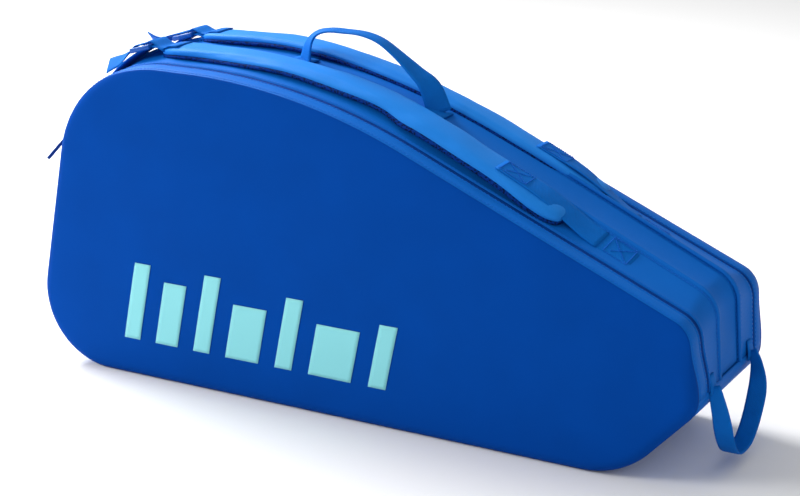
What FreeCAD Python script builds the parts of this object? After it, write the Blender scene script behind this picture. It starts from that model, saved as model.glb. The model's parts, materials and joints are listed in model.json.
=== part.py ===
"""Racket tournament bag: two zipped compartments either side of a spine, with backpack straps.

Frame: X runs along the bag from the wide head end (-X) to the nose (+X), Y is across it with the
front compartment towards -Y, and Z is up. The origin is on the ground, under the mid-plane.
Everything is in millimetres. The front half is built and the rear half is its mirror image.
"""
import FreeCAD, Part
import Sketcher
import math
import os

Vector = FreeCAD.Vector
DOC = FreeCAD.newDocument("RacketBag")

# Each size: its name and its value. Lengths are in millimetres and angles in degrees.
SIZES = {
    # Side outline of the compartment rims: corners of the outline and their radii.
    "head_reach": 390.0,        # foot of the head end, before its corner is rounded
    "head_top_reach": 321.2,    # top of the head end
    "rim_height": 344.0,        # level top near the head end
    "bend_reach": 46.5,         # where the top bends down, on the head side of the origin
    "nose_reach": 375.0,        # upright face of the nose
    "nose_top": 162.75,         # upper corner of the nose
    "nose_low": 78.0,           # lower corner of the nose
    "bottom_reach": 302.5,      # where the level bottom ends
    "head_foot_radius": 80.0,
    "head_top_radius": 132.0,
    "bend_radius": 640.0,
    "nose_top_radius": 34.0,
    "nose_low_radius": 30.0,
    "nose_foot_radius": 90.0,
    # The spine stands above the rims, so it has a taller outline of its own.
    "crown_head_height": 348.0,
    "crown_bend_reach": 20.0,
    "crown_bend_height": 350.0,
    "crown_nose_reach": 368.0,
    "crown_nose_top": 171.0,
    # Across the bag, from the mid-plane outwards.
    "spine_half": 28.0,         # mid-plane to the ridge seam
    "inner_gusset": 32.0,       # ridge seam to the zip tape
    "tape_half": 3.0,           # one half of the zip tape that shows
    "outer_gusset": 20.0,       # zip tape to the panel seam
    "panel_depth": 11.0,        # panel seam to the panel's outer face
    "rim_radius": 10.0,         # rounded edge of the panel
    # Fabrics and fillings.
    "gusset_wall": 2.0,
    "panel_wall": 1.5,
    "lining_wall": 4.0,
    "divider_wall": 4.0,
    "tape_wall": 1.0,
    "coil_wall": 1.6,
    "coil_half": 2.0,
    "piping_width": 3.0,
    "piping_height": 1.2,
    "board_wall": 2.5,          # stiffener inside the bottom
    "board_head": 290.0,        # its reach towards the head
    "board_nose": 257.5,        # its reach towards the nose
    "fold_height": 90.0,        # level where the zips end and the panels fold open
    "seam_gap": 0.3,            # clearance between neighbouring pieces
    # Shoulder straps.
    "strap_lift": 2.2,          # mesh backing above the spine's outline, clear of the piping
    "mesh_wall": 1.6,
    "pad_wall": 6.5,
    "strap_inner": 17.0,        # inner edge of the pad, from the mid-plane
    "strap_width": 42.0,
    "strap_head_reach": 238.0,
    "strap_nose_reach": 227.0,
    "webbing_wall": 1.6,
    "webbing_width": 28.0,
    "webbing_inner": 31.5,      # inner edge of the webbing at the nose end of the strap
    "webbing_start": 147.0,     # where the webbing is stitched on the pad
    "webbing_step": 6.0,        # level length past the pad before it drops
    "webbing_flat": 12.0,       # length that lies flat before the hinge
    "webbing_bend": 10.0,
    "strap_hinge_reach": 262.0,  # where the sewn-down webbing starts to bend
    "webbing_end": 293.0,
    "lock_length": 26.0,
    "lock_width": 38.0,
    "lock_wall": 4.0,
    "lock_bar": 4.0,
    "lock_reach": 256.0,
    "lock_lift": 10.0,
    "lock_pitch": 16.0,         # nose end up
    "lock_tilt_room": 0.8,      # between the lock and the tab it turns under
    "tab_overlap": 25.0,        # length of the tab stitched on the pad
    "tab_rise": 0.6,            # height of the tab over the pad's edge
    "tab_bend": 30.0,
    "adjuster_foot": 41.0,      # where the adjuster is sewn down, from the lock's middle
    "adjuster_knee": 28.0,      # where it starts to rise
    "adjuster_rise": 1.3,       # height of that knee above the spine
    "adjuster_tuck": 1.0,       # how far it passes under the lock
    "adjuster_bend": 12.0,
    "adjuster_width": 25.0,
    "tail_reach": 50.0,         # free end of the tail, from the lock's middle
    "tail_drop": 11.0,          # height of that end above the spine
    "tail_fold": 6.0,           # where the tail bends, past the lock
    "tail_bend": 20.0,
    # Carrying handle and the loop at the nose.
    "handle_head": 93.0,
    "handle_nose": 62.0,
    "handle_height": 378.0,
    "handle_width": 25.0,
    "handle_wall": 3.0,
    "handle_top_head": 74.0,    # head end of the level grip
    "handle_top_nose": 8.0,     # nose end of the level grip
    "handle_nose_foot_bend": 14.0,
    "handle_nose_bend": 60.0,
    "handle_head_bend": 20.0,
    "handle_head_foot_bend": 8.0,
    "handle_patch": 22.0,       # length of each sewn patch
    "patch_lift": 0.5,
    "loop_half_span": 52.0,
    "loop_bottom": 13.0,
    "loop_top": 89.0,
    "loop_width": 19.0,
    "loop_wall": 2.0,
    "loop_stand_off": 0.8,      # from the nose's gusset
    "loop_elbow": 28.6,         # where the loop's level bottom ends
    "loop_bend": 22.0,
    "loop_foot_low": 90.0,
    "loop_foot_width": 14.0,
    "loop_foot_length": 16.0,
    # Zip sliders and their pulls.
    "slider_length": 13.0,
    "slider_width": 9.0,
    "slider_wall": 2.5,
    "bridge_length": 8.0,
    "bridge_width": 2.0,
    "bridge_height": 4.4,
    "bridge_hole": 1.45,
    "low_slider_height": 229.0,
    "high_slider_angle": 19.0,  # above the level through the head corner's centre
    "ring_radius": 3.7,
    "ring_wire": 0.7,
    "tab_length": 38.0,
    "tab_width": 6.0,
    "tab_wall": 2.2,
    "tab_eyelet": 0.95,         # radius of the hole the ring passes through
    "pull_splay": 20.0,         # how far the two pulls lean apart, sideways
    "high_pull_lift": 18.0,     # how far the upper pull stands off, on the lower slider
}

SHEET = DOC.addObject("Spreadsheet::Sheet", "Sizes")
for row, (size_name, size_value) in enumerate(SIZES.items(), start=1):
    SHEET.set("A%d" % row, str(size_value))
    SHEET.setAlias("A%d" % row, size_name)
DOC.recompute()

NODES = {}

SAME = 0.01                     # two lengths closer than this are one length


def size(name):
    """A driving dimension by name; a leading minus gives its negative."""
    if name == "0":
        return 0.0
    if name.startswith("-"):
        return -SIZES[name[1:]]
    return SIZES[name]


def bound(*names):
    """The expression that adds up the named cells; a leading minus takes a cell away."""
    terms = ["-Sizes." + name[1:] if name.startswith("-") else "Sizes." + name for name in names]
    return " + ".join(terms)


def total(*names):
    return sum(SIZES[name] for name in names)


def through(name):
    """The length of a cutter that passes right through a wall of the named size."""
    return "Sizes.%s * 2" % name


def keep(node, thing):
    """Name an object as one finished piece of the bag."""
    thing.Label = node
    NODES[node] = thing
    return thing


# Distances from the mid-plane, as lists of the sizes that add up to them.
RIDGE = ["spine_half"]
TAPE_INNER = RIDGE + ["inner_gusset"]
ZIP_LINE = TAPE_INNER + ["tape_half"]
TAPE_OUTER = ZIP_LINE + ["tape_half"]
PANEL_SEAM = TAPE_OUTER + ["outer_gusset"]
PANEL_FACE = PANEL_SEAM + ["panel_depth"]
GAP = ["seam_gap"]

# Outline corners, anticlockwise seen from the front: X, Z and radius.
RIM = [
    ("-head_reach", "0", "head_foot_radius"),
    ("bottom_reach", "0", "nose_foot_radius"),
    ("nose_reach", "nose_low", "nose_low_radius"),
    ("nose_reach", "nose_top", "nose_top_radius"),
    ("-bend_reach", "rim_height", "bend_radius"),
    ("-head_top_reach", "rim_height", "head_top_radius"),
]
CROWN = RIM[:3] + [
    ("crown_nose_reach", "crown_nose_top", "nose_top_radius"),
    ("-crown_bend_reach", "crown_bend_height", "bend_radius"),
    ("-head_top_reach", "crown_head_height", "head_top_radius"),
]


def corner_arc(before, corner, after, radius):
    """Tangent points and middle of the arc that rounds one corner."""
    back = (before - corner).normalize()
    ahead = (after - corner).normalize()
    half_angle = back.getAngle(ahead) / 2
    reach = radius / math.tan(half_angle)
    middle_way = (back + ahead).normalize()
    middle = corner + middle_way * (radius / math.sin(half_angle) - radius)
    return corner + back * reach, middle, corner + ahead * reach


def draw_outline(sketch, corners):
    """A closed outline of straight sides and tangent arcs, held by constraints from the sheet."""
    count = len(corners)
    points = [Vector(size(x), size(z), 0) for x, z, _ in corners]
    arcs = [corner_arc(points[i - 1], points[i], points[(i + 1) % count], size(corners[i][2]))
            for i in range(count)]
    sides = [sketch.addGeometry(Part.LineSegment(arcs[i][2], arcs[(i + 1) % count][0]), False)
             for i in range(count)]
    bends = [sketch.addGeometry(Part.Arc(*arcs[i]), False) for i in range(count)]
    marks = [sketch.addGeometry(Part.Point(point), True) for point in points]
    for i, (x, z, radius) in enumerate(corners):
        hold_corner(sketch, sides[i - 1], bends[i], sides[i], marks[i])
        hold_radius(sketch, bends[i], radius)
        hold_mark(sketch, marks[i], x, z)


def hold_corner(sketch, side_in, bend, side_out, mark):
    sketch.addConstraint(constraint("Tangent", side_in, 2, bend, 1))
    sketch.addConstraint(constraint("Tangent", bend, 2, side_out, 1))
    sketch.addConstraint(constraint("PointOnObject", mark, 1, side_in))
    sketch.addConstraint(constraint("PointOnObject", mark, 1, side_out))


def hold_radius(sketch, bend, radius):
    index = sketch.addConstraint(constraint("Radius", bend, size(radius)))
    sketch.setExpression("Constraints[%d]" % index, bound(radius))


def hold_mark(sketch, mark, x, z):
    """Place a corner from the sketch's origin, whose point is geometry -1."""
    for kind, name in (("DistanceX", x), ("DistanceY", z)):
        if name == "0":
            sketch.addConstraint(constraint("PointOnObject", mark, 1, -1))
            continue
        alias = name.lstrip("-")
        ends = (mark, 1, -1, 1) if name.startswith("-") else (-1, 1, mark, 1)
        index = sketch.addConstraint(constraint(kind, *ends, size(alias)))
        sketch.setExpression("Constraints[%d]" % index, bound(alias))


def constraint(*values):
    return Sketcher.Constraint(*values)


UPRIGHT = FreeCAD.Rotation(Vector(1, 0, 0), 90)


def outline_sketch(name, corners, distance=()):
    """An outline on an upright plane, at a distance towards the front."""
    sketch = DOC.addObject("Sketcher::SketchObject", name)
    sketch.Placement = FreeCAD.Placement(Vector(0, 0, 0), UPRIGHT)
    if distance:
        sketch.setExpression("Placement.Base.y", "-(%s)" % bound(*distance))
    draw_outline(sketch, corners)
    return sketch


def grown(name, source, expression, fill=False):
    """The outline moved outwards by an expression, as a wire or as the band between the two."""
    band = DOC.addObject("Part::Offset2D", name)
    band.Source = source
    band.Fill = fill
    band.setExpression("Value", expression)
    return band


def across(name, source, near, far):
    """Extrude towards the front, from one distance off the mid-plane to another."""
    solid = DOC.addObject("Part::Extrusion", name)
    solid.Base = source
    solid.DirMode = "Custom"
    solid.Dir = Vector(0, -1, 0)
    solid.Solid = True
    solid.setExpression("LengthRev", "-(%s)" % near)
    solid.setExpression("LengthFwd", far)
    return solid


def boolean(kind, name, base, tool):
    result = DOC.addObject("Part::" + kind, name)
    result.Base = base
    result.Tool = tool
    return result


def loft(name, sections):
    solid = DOC.addObject("Part::Loft", name)
    solid.Sections = sections
    solid.Solid = True
    solid.Ruled = True
    return solid


def block(name, low, high):
    """A box between two corners, each given as three expressions."""
    box = DOC.addObject("Part::Box", name)
    for axis, side, start, end in zip("xyz", ("Length", "Width", "Height"), low, high):
        box.setExpression("Placement.Base." + axis, start)
        box.setExpression(side, "(%s) - (%s)" % (end, start))
    return box


RIM_SKETCH = outline_sketch("RimOutline", RIM)
CROWN_SKETCH = outline_sketch("CrownOutline", CROWN)
# Blocks that split the rings at the fold: what is above it, and what is below.
FAR = "1000"
UPPER_BLOCK = block("UpperBlock", ("-" + FAR, "-" + FAR, bound("fold_height")), (FAR, FAR, FAR))
LOWER_BLOCK = block("LowerBlock", ("-" + FAR, "-" + FAR, "-" + FAR),
                    (FAR, FAR, bound("fold_height") + " - " + bound(*GAP)))
# The lower panels hang just clear of the ground, which the bottom gusset stands on.
PANEL_BLOCK = block("PanelBlock", ("-" + FAR, "-" + FAR, bound(*GAP)),
                    (FAR, FAR, bound("fold_height") + " - " + bound(*GAP)))


def ring(node, sketch, inset, wall, near, far):
    """A band of fabric that follows an outline, above the fold, from near to far off the mid-plane."""
    edge = sketch if inset == "0" else grown(node + "_edge", sketch, "-(%s)" % inset)
    band = grown(node + "_band", edge, "-(%s)" % wall, fill=True)
    solid = across(node + "_all_round", band, near, far)
    return keep(node, boolean("Common", node, solid, UPPER_BLOCK))


def make_bottom():
    """The strip under the bag, up both ends to the fold, and the stiffener that lies in it."""
    band = grown("bottom_band", RIM_SKETCH, "-" + bound("gusset_wall"), fill=True)
    strip = across("bottom_all_round", band, "-(%s)" % bound(*PANEL_SEAM), bound(*PANEL_SEAM))
    keep("bottom_gusset", boolean("Common", "bottom_gusset", strip, LOWER_BLOCK))
    floor = bound("gusset_wall", "seam_gap")
    side = bound(*TAPE_INNER)
    keep("bottom_board", block("bottom_board",
                               (bound("-board_head"), "-(%s)" % side, floor),
                               (bound("board_nose"), side, floor + " + " + bound("board_wall"))))


def make_spine():
    """The spine panel with its two ridge pipings."""
    band = grown("spine_band", CROWN_SKETCH, "-" + bound("gusset_wall"), fill=True)
    near_edge = bound(*RIDGE) + " - " + bound(*GAP)
    solid = across("spine_all_round", band, "-(%s)" % near_edge, near_edge)
    keep("spine_panel", boolean("Common", "spine_panel", solid, UPPER_BLOCK))
    start = grown("piping_edge", CROWN_SKETCH, bound("seam_gap"))
    cord = grown("piping_band", start, bound("piping_height"), fill=True)
    solid = across("piping_all_round", cord, bound(*RIDGE) + " - " + bound("piping_width") + " / 2",
                   bound(*RIDGE) + " + " + bound("piping_width") + " / 2")
    keep("front_ridge_piping", boolean("Common", "front_ridge_piping", solid, UPPER_BLOCK))


def make_inner_gusset():
    """The gusset that slopes from the ridge seam down to the zip."""
    near = RIDGE
    far = TAPE_INNER
    wall = "-" + bound("gusset_wall")
    crown = outline_sketch("GussetCrown", CROWN, near)
    rim = outline_sketch("GussetRim", RIM, far)
    outer = loft("inner_gusset_outside", [crown, rim])
    inner = loft("inner_gusset_inside", [grown("GussetCrownInside", crown, wall),
                                         grown("GussetRimInside", rim, wall)])
    shell = boolean("Cut", "inner_gusset_all_round", outer, inner)
    keep("front_inner_gusset", boolean("Common", "front_inner_gusset", shell, UPPER_BLOCK))


def make_divider():
    """The padded wall at the back of a compartment."""
    inset = bound("gusset_wall", "board_wall", "seam_gap", "seam_gap")
    edge = grown("divider_edge", CROWN_SKETCH, "-(%s)" % inset)
    near = bound(*RIDGE) + " - " + bound("divider_wall", "seam_gap")
    keep("front_divider", across("front_divider", edge, near, bound(*RIDGE) + " - " + bound(*GAP)))


def make_zip():
    """Two halves of tape with a half coil behind each, meeting at the zip line."""
    half_gap = bound(*GAP) + " / 2"
    line = bound(*ZIP_LINE)
    behind = bound("tape_wall", "seam_gap")
    halves = {
        "inner": (bound(*TAPE_INNER) + " + " + half_gap, line + " - " + half_gap),
        "outer": (line + " + " + half_gap, bound(*TAPE_OUTER) + " - " + half_gap),
    }
    for half, (near, far) in halves.items():
        ring("front_%s_zip_tape" % half, RIM_SKETCH, "0", bound("tape_wall"), near, far)
    coil = bound("coil_half")
    ring("front_inner_zip_coil", RIM_SKETCH, behind, bound("coil_wall"),
         "%s - %s - %s" % (line, half_gap, coil), line + " - " + half_gap)
    ring("front_outer_zip_coil", RIM_SKETCH, behind, bound("coil_wall"),
         line + " + " + half_gap, "%s + %s + %s" % (line, half_gap, coil))


def make_outer_gusset():
    half_gap = bound(*GAP) + " / 2"
    ring("front_outer_gusset", RIM_SKETCH, "0", bound("gusset_wall"),
         bound(*TAPE_OUTER) + " + " + half_gap, bound(*PANEL_SEAM) + " - " + half_gap)


def plane_of(body, role):
    return next(item for item in body.Origin.OriginFeatures if item.Role == role)


def upright_sketch(body, name, distance_expression):
    """A sketch on the body's own XZ plane, moved towards the front."""
    sketch = body.newObject("Sketcher::SketchObject", name)
    sketch.AttachmentSupport = (plane_of(body, "XZ_Plane"), [""])
    sketch.MapMode = "FlatFace"
    sketch.setExpression("AttachmentOffset.Base.z", distance_expression)
    return sketch


def make_panel():
    """The big side panel: a shallow tray with a rounded edge, split where it folds open."""
    body = DOC.addObject("PartDesign::Body", "PanelBody")
    sketch = upright_sketch(body, "PanelOutline", bound(*PANEL_SEAM) + " + " + bound(*GAP) + " / 2")
    draw_outline(sketch, RIM)
    pad = body.newObject("PartDesign::Pad", "PanelPad")
    pad.Profile = sketch
    pad.setExpression("Length", bound("panel_depth") + " - " + bound(*GAP) + " / 2")
    DOC.recompute()
    face_distance = total(*PANEL_FACE)
    outer_face = facing(pad, lambda point: abs(point.y + face_distance) < SAME)
    fillet = body.newObject("PartDesign::Fillet", "PanelRim")
    fillet.Base = (pad, [outer_face])
    fillet.setExpression("Radius", bound("rim_radius"))
    DOC.recompute()
    seam_distance = total(*PANEL_SEAM) + SIZES["seam_gap"] / 2
    open_face = facing(fillet, lambda point: abs(point.y + seam_distance) < SAME)
    hollow = body.newObject("PartDesign::Thickness", "PanelHollow")
    hollow.Base = (fillet, [open_face])
    hollow.Reversed = True
    hollow.setExpression("Value", bound("panel_wall"))
    body.Tip = hollow
    DOC.recompute()
    keep("front_panel", boolean("Common", "front_panel", body, UPPER_BLOCK))
    keep("front_lower_panel", boolean("Common", "front_lower_panel", body, PANEL_BLOCK))


def facing(feature, test):
    """The name of the one flat face whose centre passes the test."""
    for number, face in enumerate(feature.Shape.Faces, start=1):
        if face.Surface.TypeId == "Part::GeomPlane" and test(face.CenterOfMass):
            return "Face%d" % number
    raise RuntimeError("no such face on " + feature.Name)


def make_lining():
    """The foam-backed lining behind the panel, folded with it."""
    edge = grown("lining_edge", RIM_SKETCH, "-" + bound("rim_radius"))
    far = bound(*PANEL_FACE, "-panel_wall", "-seam_gap")
    solid = across("lining_all", edge, far + " - " + bound("lining_wall"), far)
    keep("front_lining", boolean("Common", "front_lining", solid, UPPER_BLOCK))
    keep("front_lower_lining", boolean("Common", "front_lower_lining", solid, LOWER_BLOCK))


def make_strap_pad():
    """The shoulder pad and its mesh backing, lying along the ridge."""
    window = block("strap_window",
                   ("-" + bound("strap_head_reach"), "-" + FAR, bound("fold_height")),
                   (bound("strap_nose_reach"), FAR, FAR))
    layers = (("front_strap_mesh", ["strap_lift"], "mesh_wall"),
              ("front_strap_pad", ["strap_lift", "mesh_wall", "seam_gap"], "pad_wall"))
    for node, start, wall in layers:
        edge = grown(node + "_edge", CROWN_SKETCH, bound(*start))
        band = grown(node + "_band", edge, bound(wall), fill=True)
        solid = across(node + "_all_round", band, bound("strap_inner"), bound("strap_inner", "strap_width"))
        keep(node, boolean("Common", node, solid, window))


def offset_path(points, distance):
    """The path moved sideways, to the left of its direction, with mitred corners."""
    moved = []
    for i, point in enumerate(points):
        ways = []
        if i > 0:
            ways.append((point - points[i - 1]).normalize())
        if i < len(points) - 1:
            ways.append((points[i + 1] - point).normalize())
        sides = [Vector(-way.y, way.x, 0) for way in ways]
        middle = sum(sides[1:], sides[0]).normalize()
        moved.append(point + middle * (distance / middle.dot(sides[0])))
    return moved


def rounded_edges(points, radii):
    """Straight edges joined by tangent arcs, one radius for each inner point."""
    edges = []
    start = points[0]
    for i in range(1, len(points) - 1):
        first, middle, last = corner_arc(points[i - 1], points[i], points[i + 1], radii[i - 1])
        edges.append(Part.LineSegment(start, first))
        edges.append(Part.Arc(first, middle, last))
        start = last
    edges.append(Part.LineSegment(start, points[-1]))
    return edges


def turns_left(points, i):
    way_in = points[i] - points[i - 1]
    way_out = points[i + 1] - points[i]
    return way_in.x * way_out.y - way_in.y * way_out.x > 0


def draw_ribbon(sketch, points, radii, wall):
    """A ribbon of even thickness along a rounded path; radii are those of the path itself."""
    other = offset_path(points, wall)
    inner = range(1, len(points) - 1)
    other_radii = [radii[i - 1] + (-wall if turns_left(points, i) else wall) for i in inner]
    for edge in rounded_edges(points, radii) + rounded_edges(other, other_radii):
        sketch.addGeometry(edge, False)
    sketch.addGeometry(Part.LineSegment(points[0], other[0]), False)
    sketch.addGeometry(Part.LineSegment(points[-1], other[-1]), False)


def compound(name, things):
    group = DOC.addObject("Part::Compound", name + "_group")
    group.Links = things
    return group


def ribbon(node, points, radii, wall, near, width):
    """A flat strap kept as one finished piece."""
    return keep(node, ribbon_body(node, points, radii, wall, near, width))


def ribbon_body(node, points, radii, wall, near, width):
    """A flat strap: a ribbon drawn from the front and padded across the bag."""
    body = DOC.addObject("PartDesign::Body", node + "_body")
    sketch = upright_sketch(body, node + "_path", near)
    draw_ribbon(sketch, [Vector(point[0], point[1], 0) for point in points], radii, wall)
    pad = body.newObject("PartDesign::Pad", node + "_pad")
    pad.Profile = sketch
    pad.setExpression("Length", width)
    return body


def line_height(corners, index, x):
    """Height of the straight side that runs from one outline corner to the next, at a given X."""
    x1, z1 = size(corners[index][0]), size(corners[index][1])
    x2, z2 = size(corners[index + 1][0]), size(corners[index + 1][1])
    return z1 + (z2 - z1) * (x - x1) / (x2 - x1)


NOSE_TOP = 3                    # index of the corner where the back slope starts
HEAD_TOP = 5


def above_slope(x, lift):
    """The point a distance above the spine's back slope, over the slope's point at x."""
    x1, z1, x2, z2 = (size(name) for name in CROWN[NOSE_TOP][:2] + CROWN[NOSE_TOP + 1][:2])
    steep = math.atan2(z2 - z1, x1 - x2)
    z = line_height(CROWN, NOSE_TOP, x)
    return x + lift * math.sin(steep), z + lift * math.cos(steep)


def make_strap_webbing():
    """Webbing from the pad's nose end, down to where it is sewn to the gusset."""
    on_pad = total("strap_lift", "mesh_wall", "pad_wall") + 2 * SIZES["seam_gap"]
    low = SIZES["patch_lift"]
    bend = SIZES["webbing_bend"]
    hinge = SIZES["strap_hinge_reach"]
    points = [above_slope(SIZES["webbing_start"], on_pad),
              above_slope(total("strap_nose_reach", "webbing_step"), on_pad),
              above_slope(hinge - SIZES["webbing_flat"], low),
              above_slope(hinge, low)]
    ribbon("front_strap_webbing", points, [bend, bend], SIZES["webbing_wall"],
           bound("webbing_inner"), bound("webbing_width"))
    ends = [above_slope(hinge + SIZES["seam_gap"], low), above_slope(SIZES["webbing_end"], low)]
    ribbon("front_strap_end_patch", ends, [], SIZES["webbing_wall"], bound("webbing_inner"),
           bound("webbing_width"))


def arc_centre(corners, index):
    """Centre of the arc that rounds an outline corner."""
    count = len(corners)
    before, corner, after = (Vector(size(corners[i % count][0]), size(corners[i % count][1]), 0)
                             for i in (index - 1, index, index + 1))
    radius = size(corners[index][2])
    first, middle, _ = corner_arc(before, corner, after, radius)
    return middle + (middle - corner).normalize() * radius


def on_head_corner(corners, x, lift):
    """The point on the rounded head corner at x, lifted along the outline's normal."""
    centre = arc_centre(corners, HEAD_TOP)
    radius = SIZES["head_top_radius"]
    way = Vector(x - centre.x, math.sqrt(radius ** 2 - (x - centre.x) ** 2), 0).normalize()
    return centre + way * (radius + lift)


def turned(angle):
    """Rotation about Y that lowers the head end by the angle."""
    return FreeCAD.Rotation(Vector(0, 1, 0), -angle)


def add_box(body, name, centre, sides, feature="PartDesign::AdditiveBox"):
    """A box feature, centred in its body's own frame; sides are three expressions."""
    box = body.newObject(feature, name)
    box.AttachmentSupport = (plane_of(body, "XY_Plane"), [""])
    box.MapMode = "FlatFace"
    for axis, side, length, middle in zip("xyz", ("Length", "Width", "Height"), sides, centre):
        box.setExpression(side, length)
        box.setExpression("AttachmentOffset.Base." + axis, "(%s) - (%s) / 2" % (middle, length))
    return box


def lock_centre():
    return on_head_corner(CROWN, -SIZES["lock_reach"], SIZES["lock_lift"])


def strap_middle():
    return SIZES["strap_inner"] + SIZES["strap_width"] / 2


def make_ladder_lock():
    """A plastic ladder lock: a frame with a cross bar between its two slots."""
    body = DOC.addObject("PartDesign::Body", "front_ladder_lock_body")
    zero = "0"
    add_box(body, "LockPlate", (zero, zero, zero),
            (bound("lock_length"), bound("lock_width"), bound("lock_wall")))
    slot = "(Sizes.lock_length - 3 * Sizes.lock_bar) / 2"
    across_slot = "Sizes.lock_width - 2 * Sizes.lock_bar"
    offset = "(%s + Sizes.lock_bar) / 2" % slot
    for name, centre in (("HeadSlot", "-(%s)" % offset), ("PadSlot", offset)):
        cutter = add_box(body, name, (centre, zero, zero), (slot, across_slot, through("lock_wall")),
                         "PartDesign::SubtractiveBox")
        body.Tip = cutter
    centre = lock_centre()
    body.Placement = FreeCAD.Placement(Vector(centre.x, -strap_middle(), centre.y),
                                       turned(SIZES["lock_pitch"]))
    keep("front_ladder_lock", body)


def lock_point(along, up):
    """A point in the plane of the lock's own length and height, in the bag's frame."""
    pitch = math.radians(SIZES["lock_pitch"])
    centre = lock_centre()
    return (centre.x + along * math.cos(pitch) - up * math.sin(pitch),
            centre.y + along * math.sin(pitch) + up * math.cos(pitch))


def make_lock_webbing():
    """The tab that joins the lock to the pad, the sewn adjuster end and the free tail."""
    wall = SIZES["webbing_wall"]
    gap = SIZES["seam_gap"]
    half_lock = SIZES["lock_length"] / 2
    above = SIZES["lock_wall"] / 2 + gap
    pad_end = -SIZES["strap_head_reach"]
    pad_top = total("strap_lift", "mesh_wall", "pad_wall") + 2 * gap
    near = "Sizes.strap_inner + (Sizes.strap_width - Sizes.webbing_width) / 2"
    tab_start = lock_point(half_lock - SIZES["lock_bar"], above + SIZES["lock_tilt_room"])
    tab_knee = on_head_corner(CROWN, pad_end + wall, pad_top + SIZES["tab_rise"])
    tab_end = on_head_corner(CROWN, pad_end + SIZES["tab_overlap"], pad_top)
    ribbon("front_lock_tab", [tab_start, tab_knee, tab_end], [SIZES["tab_bend"]], wall, near,
           bound("webbing_width"))
    foot = on_head_corner(CROWN, -total("lock_reach", "adjuster_foot"), gap)
    knee = on_head_corner(CROWN, -total("lock_reach", "adjuster_knee"), SIZES["adjuster_rise"])
    lock_under = lock_point(SIZES["adjuster_tuck"] - half_lock, -above - wall)
    ribbon("front_adjuster_webbing", [foot, knee, lock_under], [SIZES["adjuster_bend"]], wall,
           bound("spine_half", "piping_width", "-seam_gap"), bound("adjuster_width"))
    tail_start = lock_point(wall, above)
    tail_turn = lock_point(-half_lock - SIZES["tail_fold"], above)
    tail_end = on_head_corner(CROWN, -total("lock_reach", "tail_reach"), SIZES["tail_drop"])
    ribbon("front_webbing_tail", [tail_end, tail_turn, tail_start], [SIZES["tail_bend"]], wall, near,
           bound("webbing_width"))


def handle_feet():
    """The two feet of the handle, just clear of the patches, and the way up from them."""
    clear = SIZES["patch_lift"] + SIZES["webbing_wall"] + SIZES["seam_gap"]
    head, nose = (Vector(x, spine_height(x) + clear, 0)
                  for x in (-SIZES["handle_head"], SIZES["handle_nose"]))
    along = (nose - head).normalize()
    return head, nose, Vector(-along.y, along.x, 0)


def make_handle():
    """The webbing handle; its feet are round, so they turn in place as the handle leans over."""
    head, nose, way_up = handle_feet()
    wall = SIZES["handle_wall"]
    half_width = SIZES["handle_width"] / 2
    top = SIZES["handle_height"] - wall
    points = [nose, nose + way_up * half_width, Vector(-SIZES["handle_top_nose"], top, 0),
              Vector(-SIZES["handle_top_head"], top, 0), head + way_up * half_width, head]
    body = DOC.addObject("PartDesign::Body", "carry_handle_body")
    sketch = upright_sketch(body, "carry_handle_path", "-Sizes.handle_width / 2")
    bends = [SIZES["handle_%s_bend" % place] for place in ("nose_foot", "nose", "head", "head_foot")]
    draw_ribbon(sketch, points, bends, -wall)
    pad = body.newObject("PartDesign::Pad", "carry_handle_pad")
    pad.Profile = sketch
    pad.setExpression("Length", bound("handle_width"))
    DOC.recompute()
    feet = [foot + across_wall for foot in (head, nose)
            for across_wall in (Vector(0, 0, -half_width), Vector(0, 0, half_width))]
    fillet = body.newObject("PartDesign::Fillet", "carry_handle_feet")
    fillet.Base = (pad, [corner_edge(pad, foot) for foot in feet])
    fillet.setExpression("Radius", "(Sizes.handle_width - Sizes.seam_gap) / 2")
    body.Tip = fillet
    keep("carry_handle", body)


def corner_edge(feature, foot):
    """The name of the short edge at one corner of a foot, given as X, Z and Y."""
    corner = Vector(foot.x, foot.z, foot.y)
    names = ["Edge%d" % number for number in range(1, len(feature.Shape.Edges) + 1)]
    short = [name for name in names
             if abs(feature.Shape.getElement(name).Length - SIZES["handle_wall"]) < SAME]
    return min(short, key=lambda name: feature.Shape.getElement(name).CenterOfMass.distanceToPoint(corner))


def make_handle_patches():
    """The two sewn patches under the handle's feet."""
    half = SIZES["handle_patch"] / 2
    patches = []
    for place, foot in (("head", -SIZES["handle_head"]), ("nose", SIZES["handle_nose"])):
        ends = [(x, spine_height(x) + SIZES["patch_lift"]) for x in (foot - half, foot + half)]
        patches.append(ribbon_body("handle_%s_patch" % place, ends, [], SIZES["webbing_wall"],
                                   "-Sizes.handle_width / 2", bound("handle_width")))
    keep("handle_patches", compound("handle_patches", patches))


def spine_height(x):
    """Height of the spine's outline at x, along its top."""
    probe = Part.makeLine(Vector(x, 0, SIZES["fold_height"]), Vector(x, 0, 2 * SIZES["rim_height"]))
    crossing = CROWN_SKETCH.Shape.section(probe)
    return max(vertex.Z for vertex in crossing.Vertexes)


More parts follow.
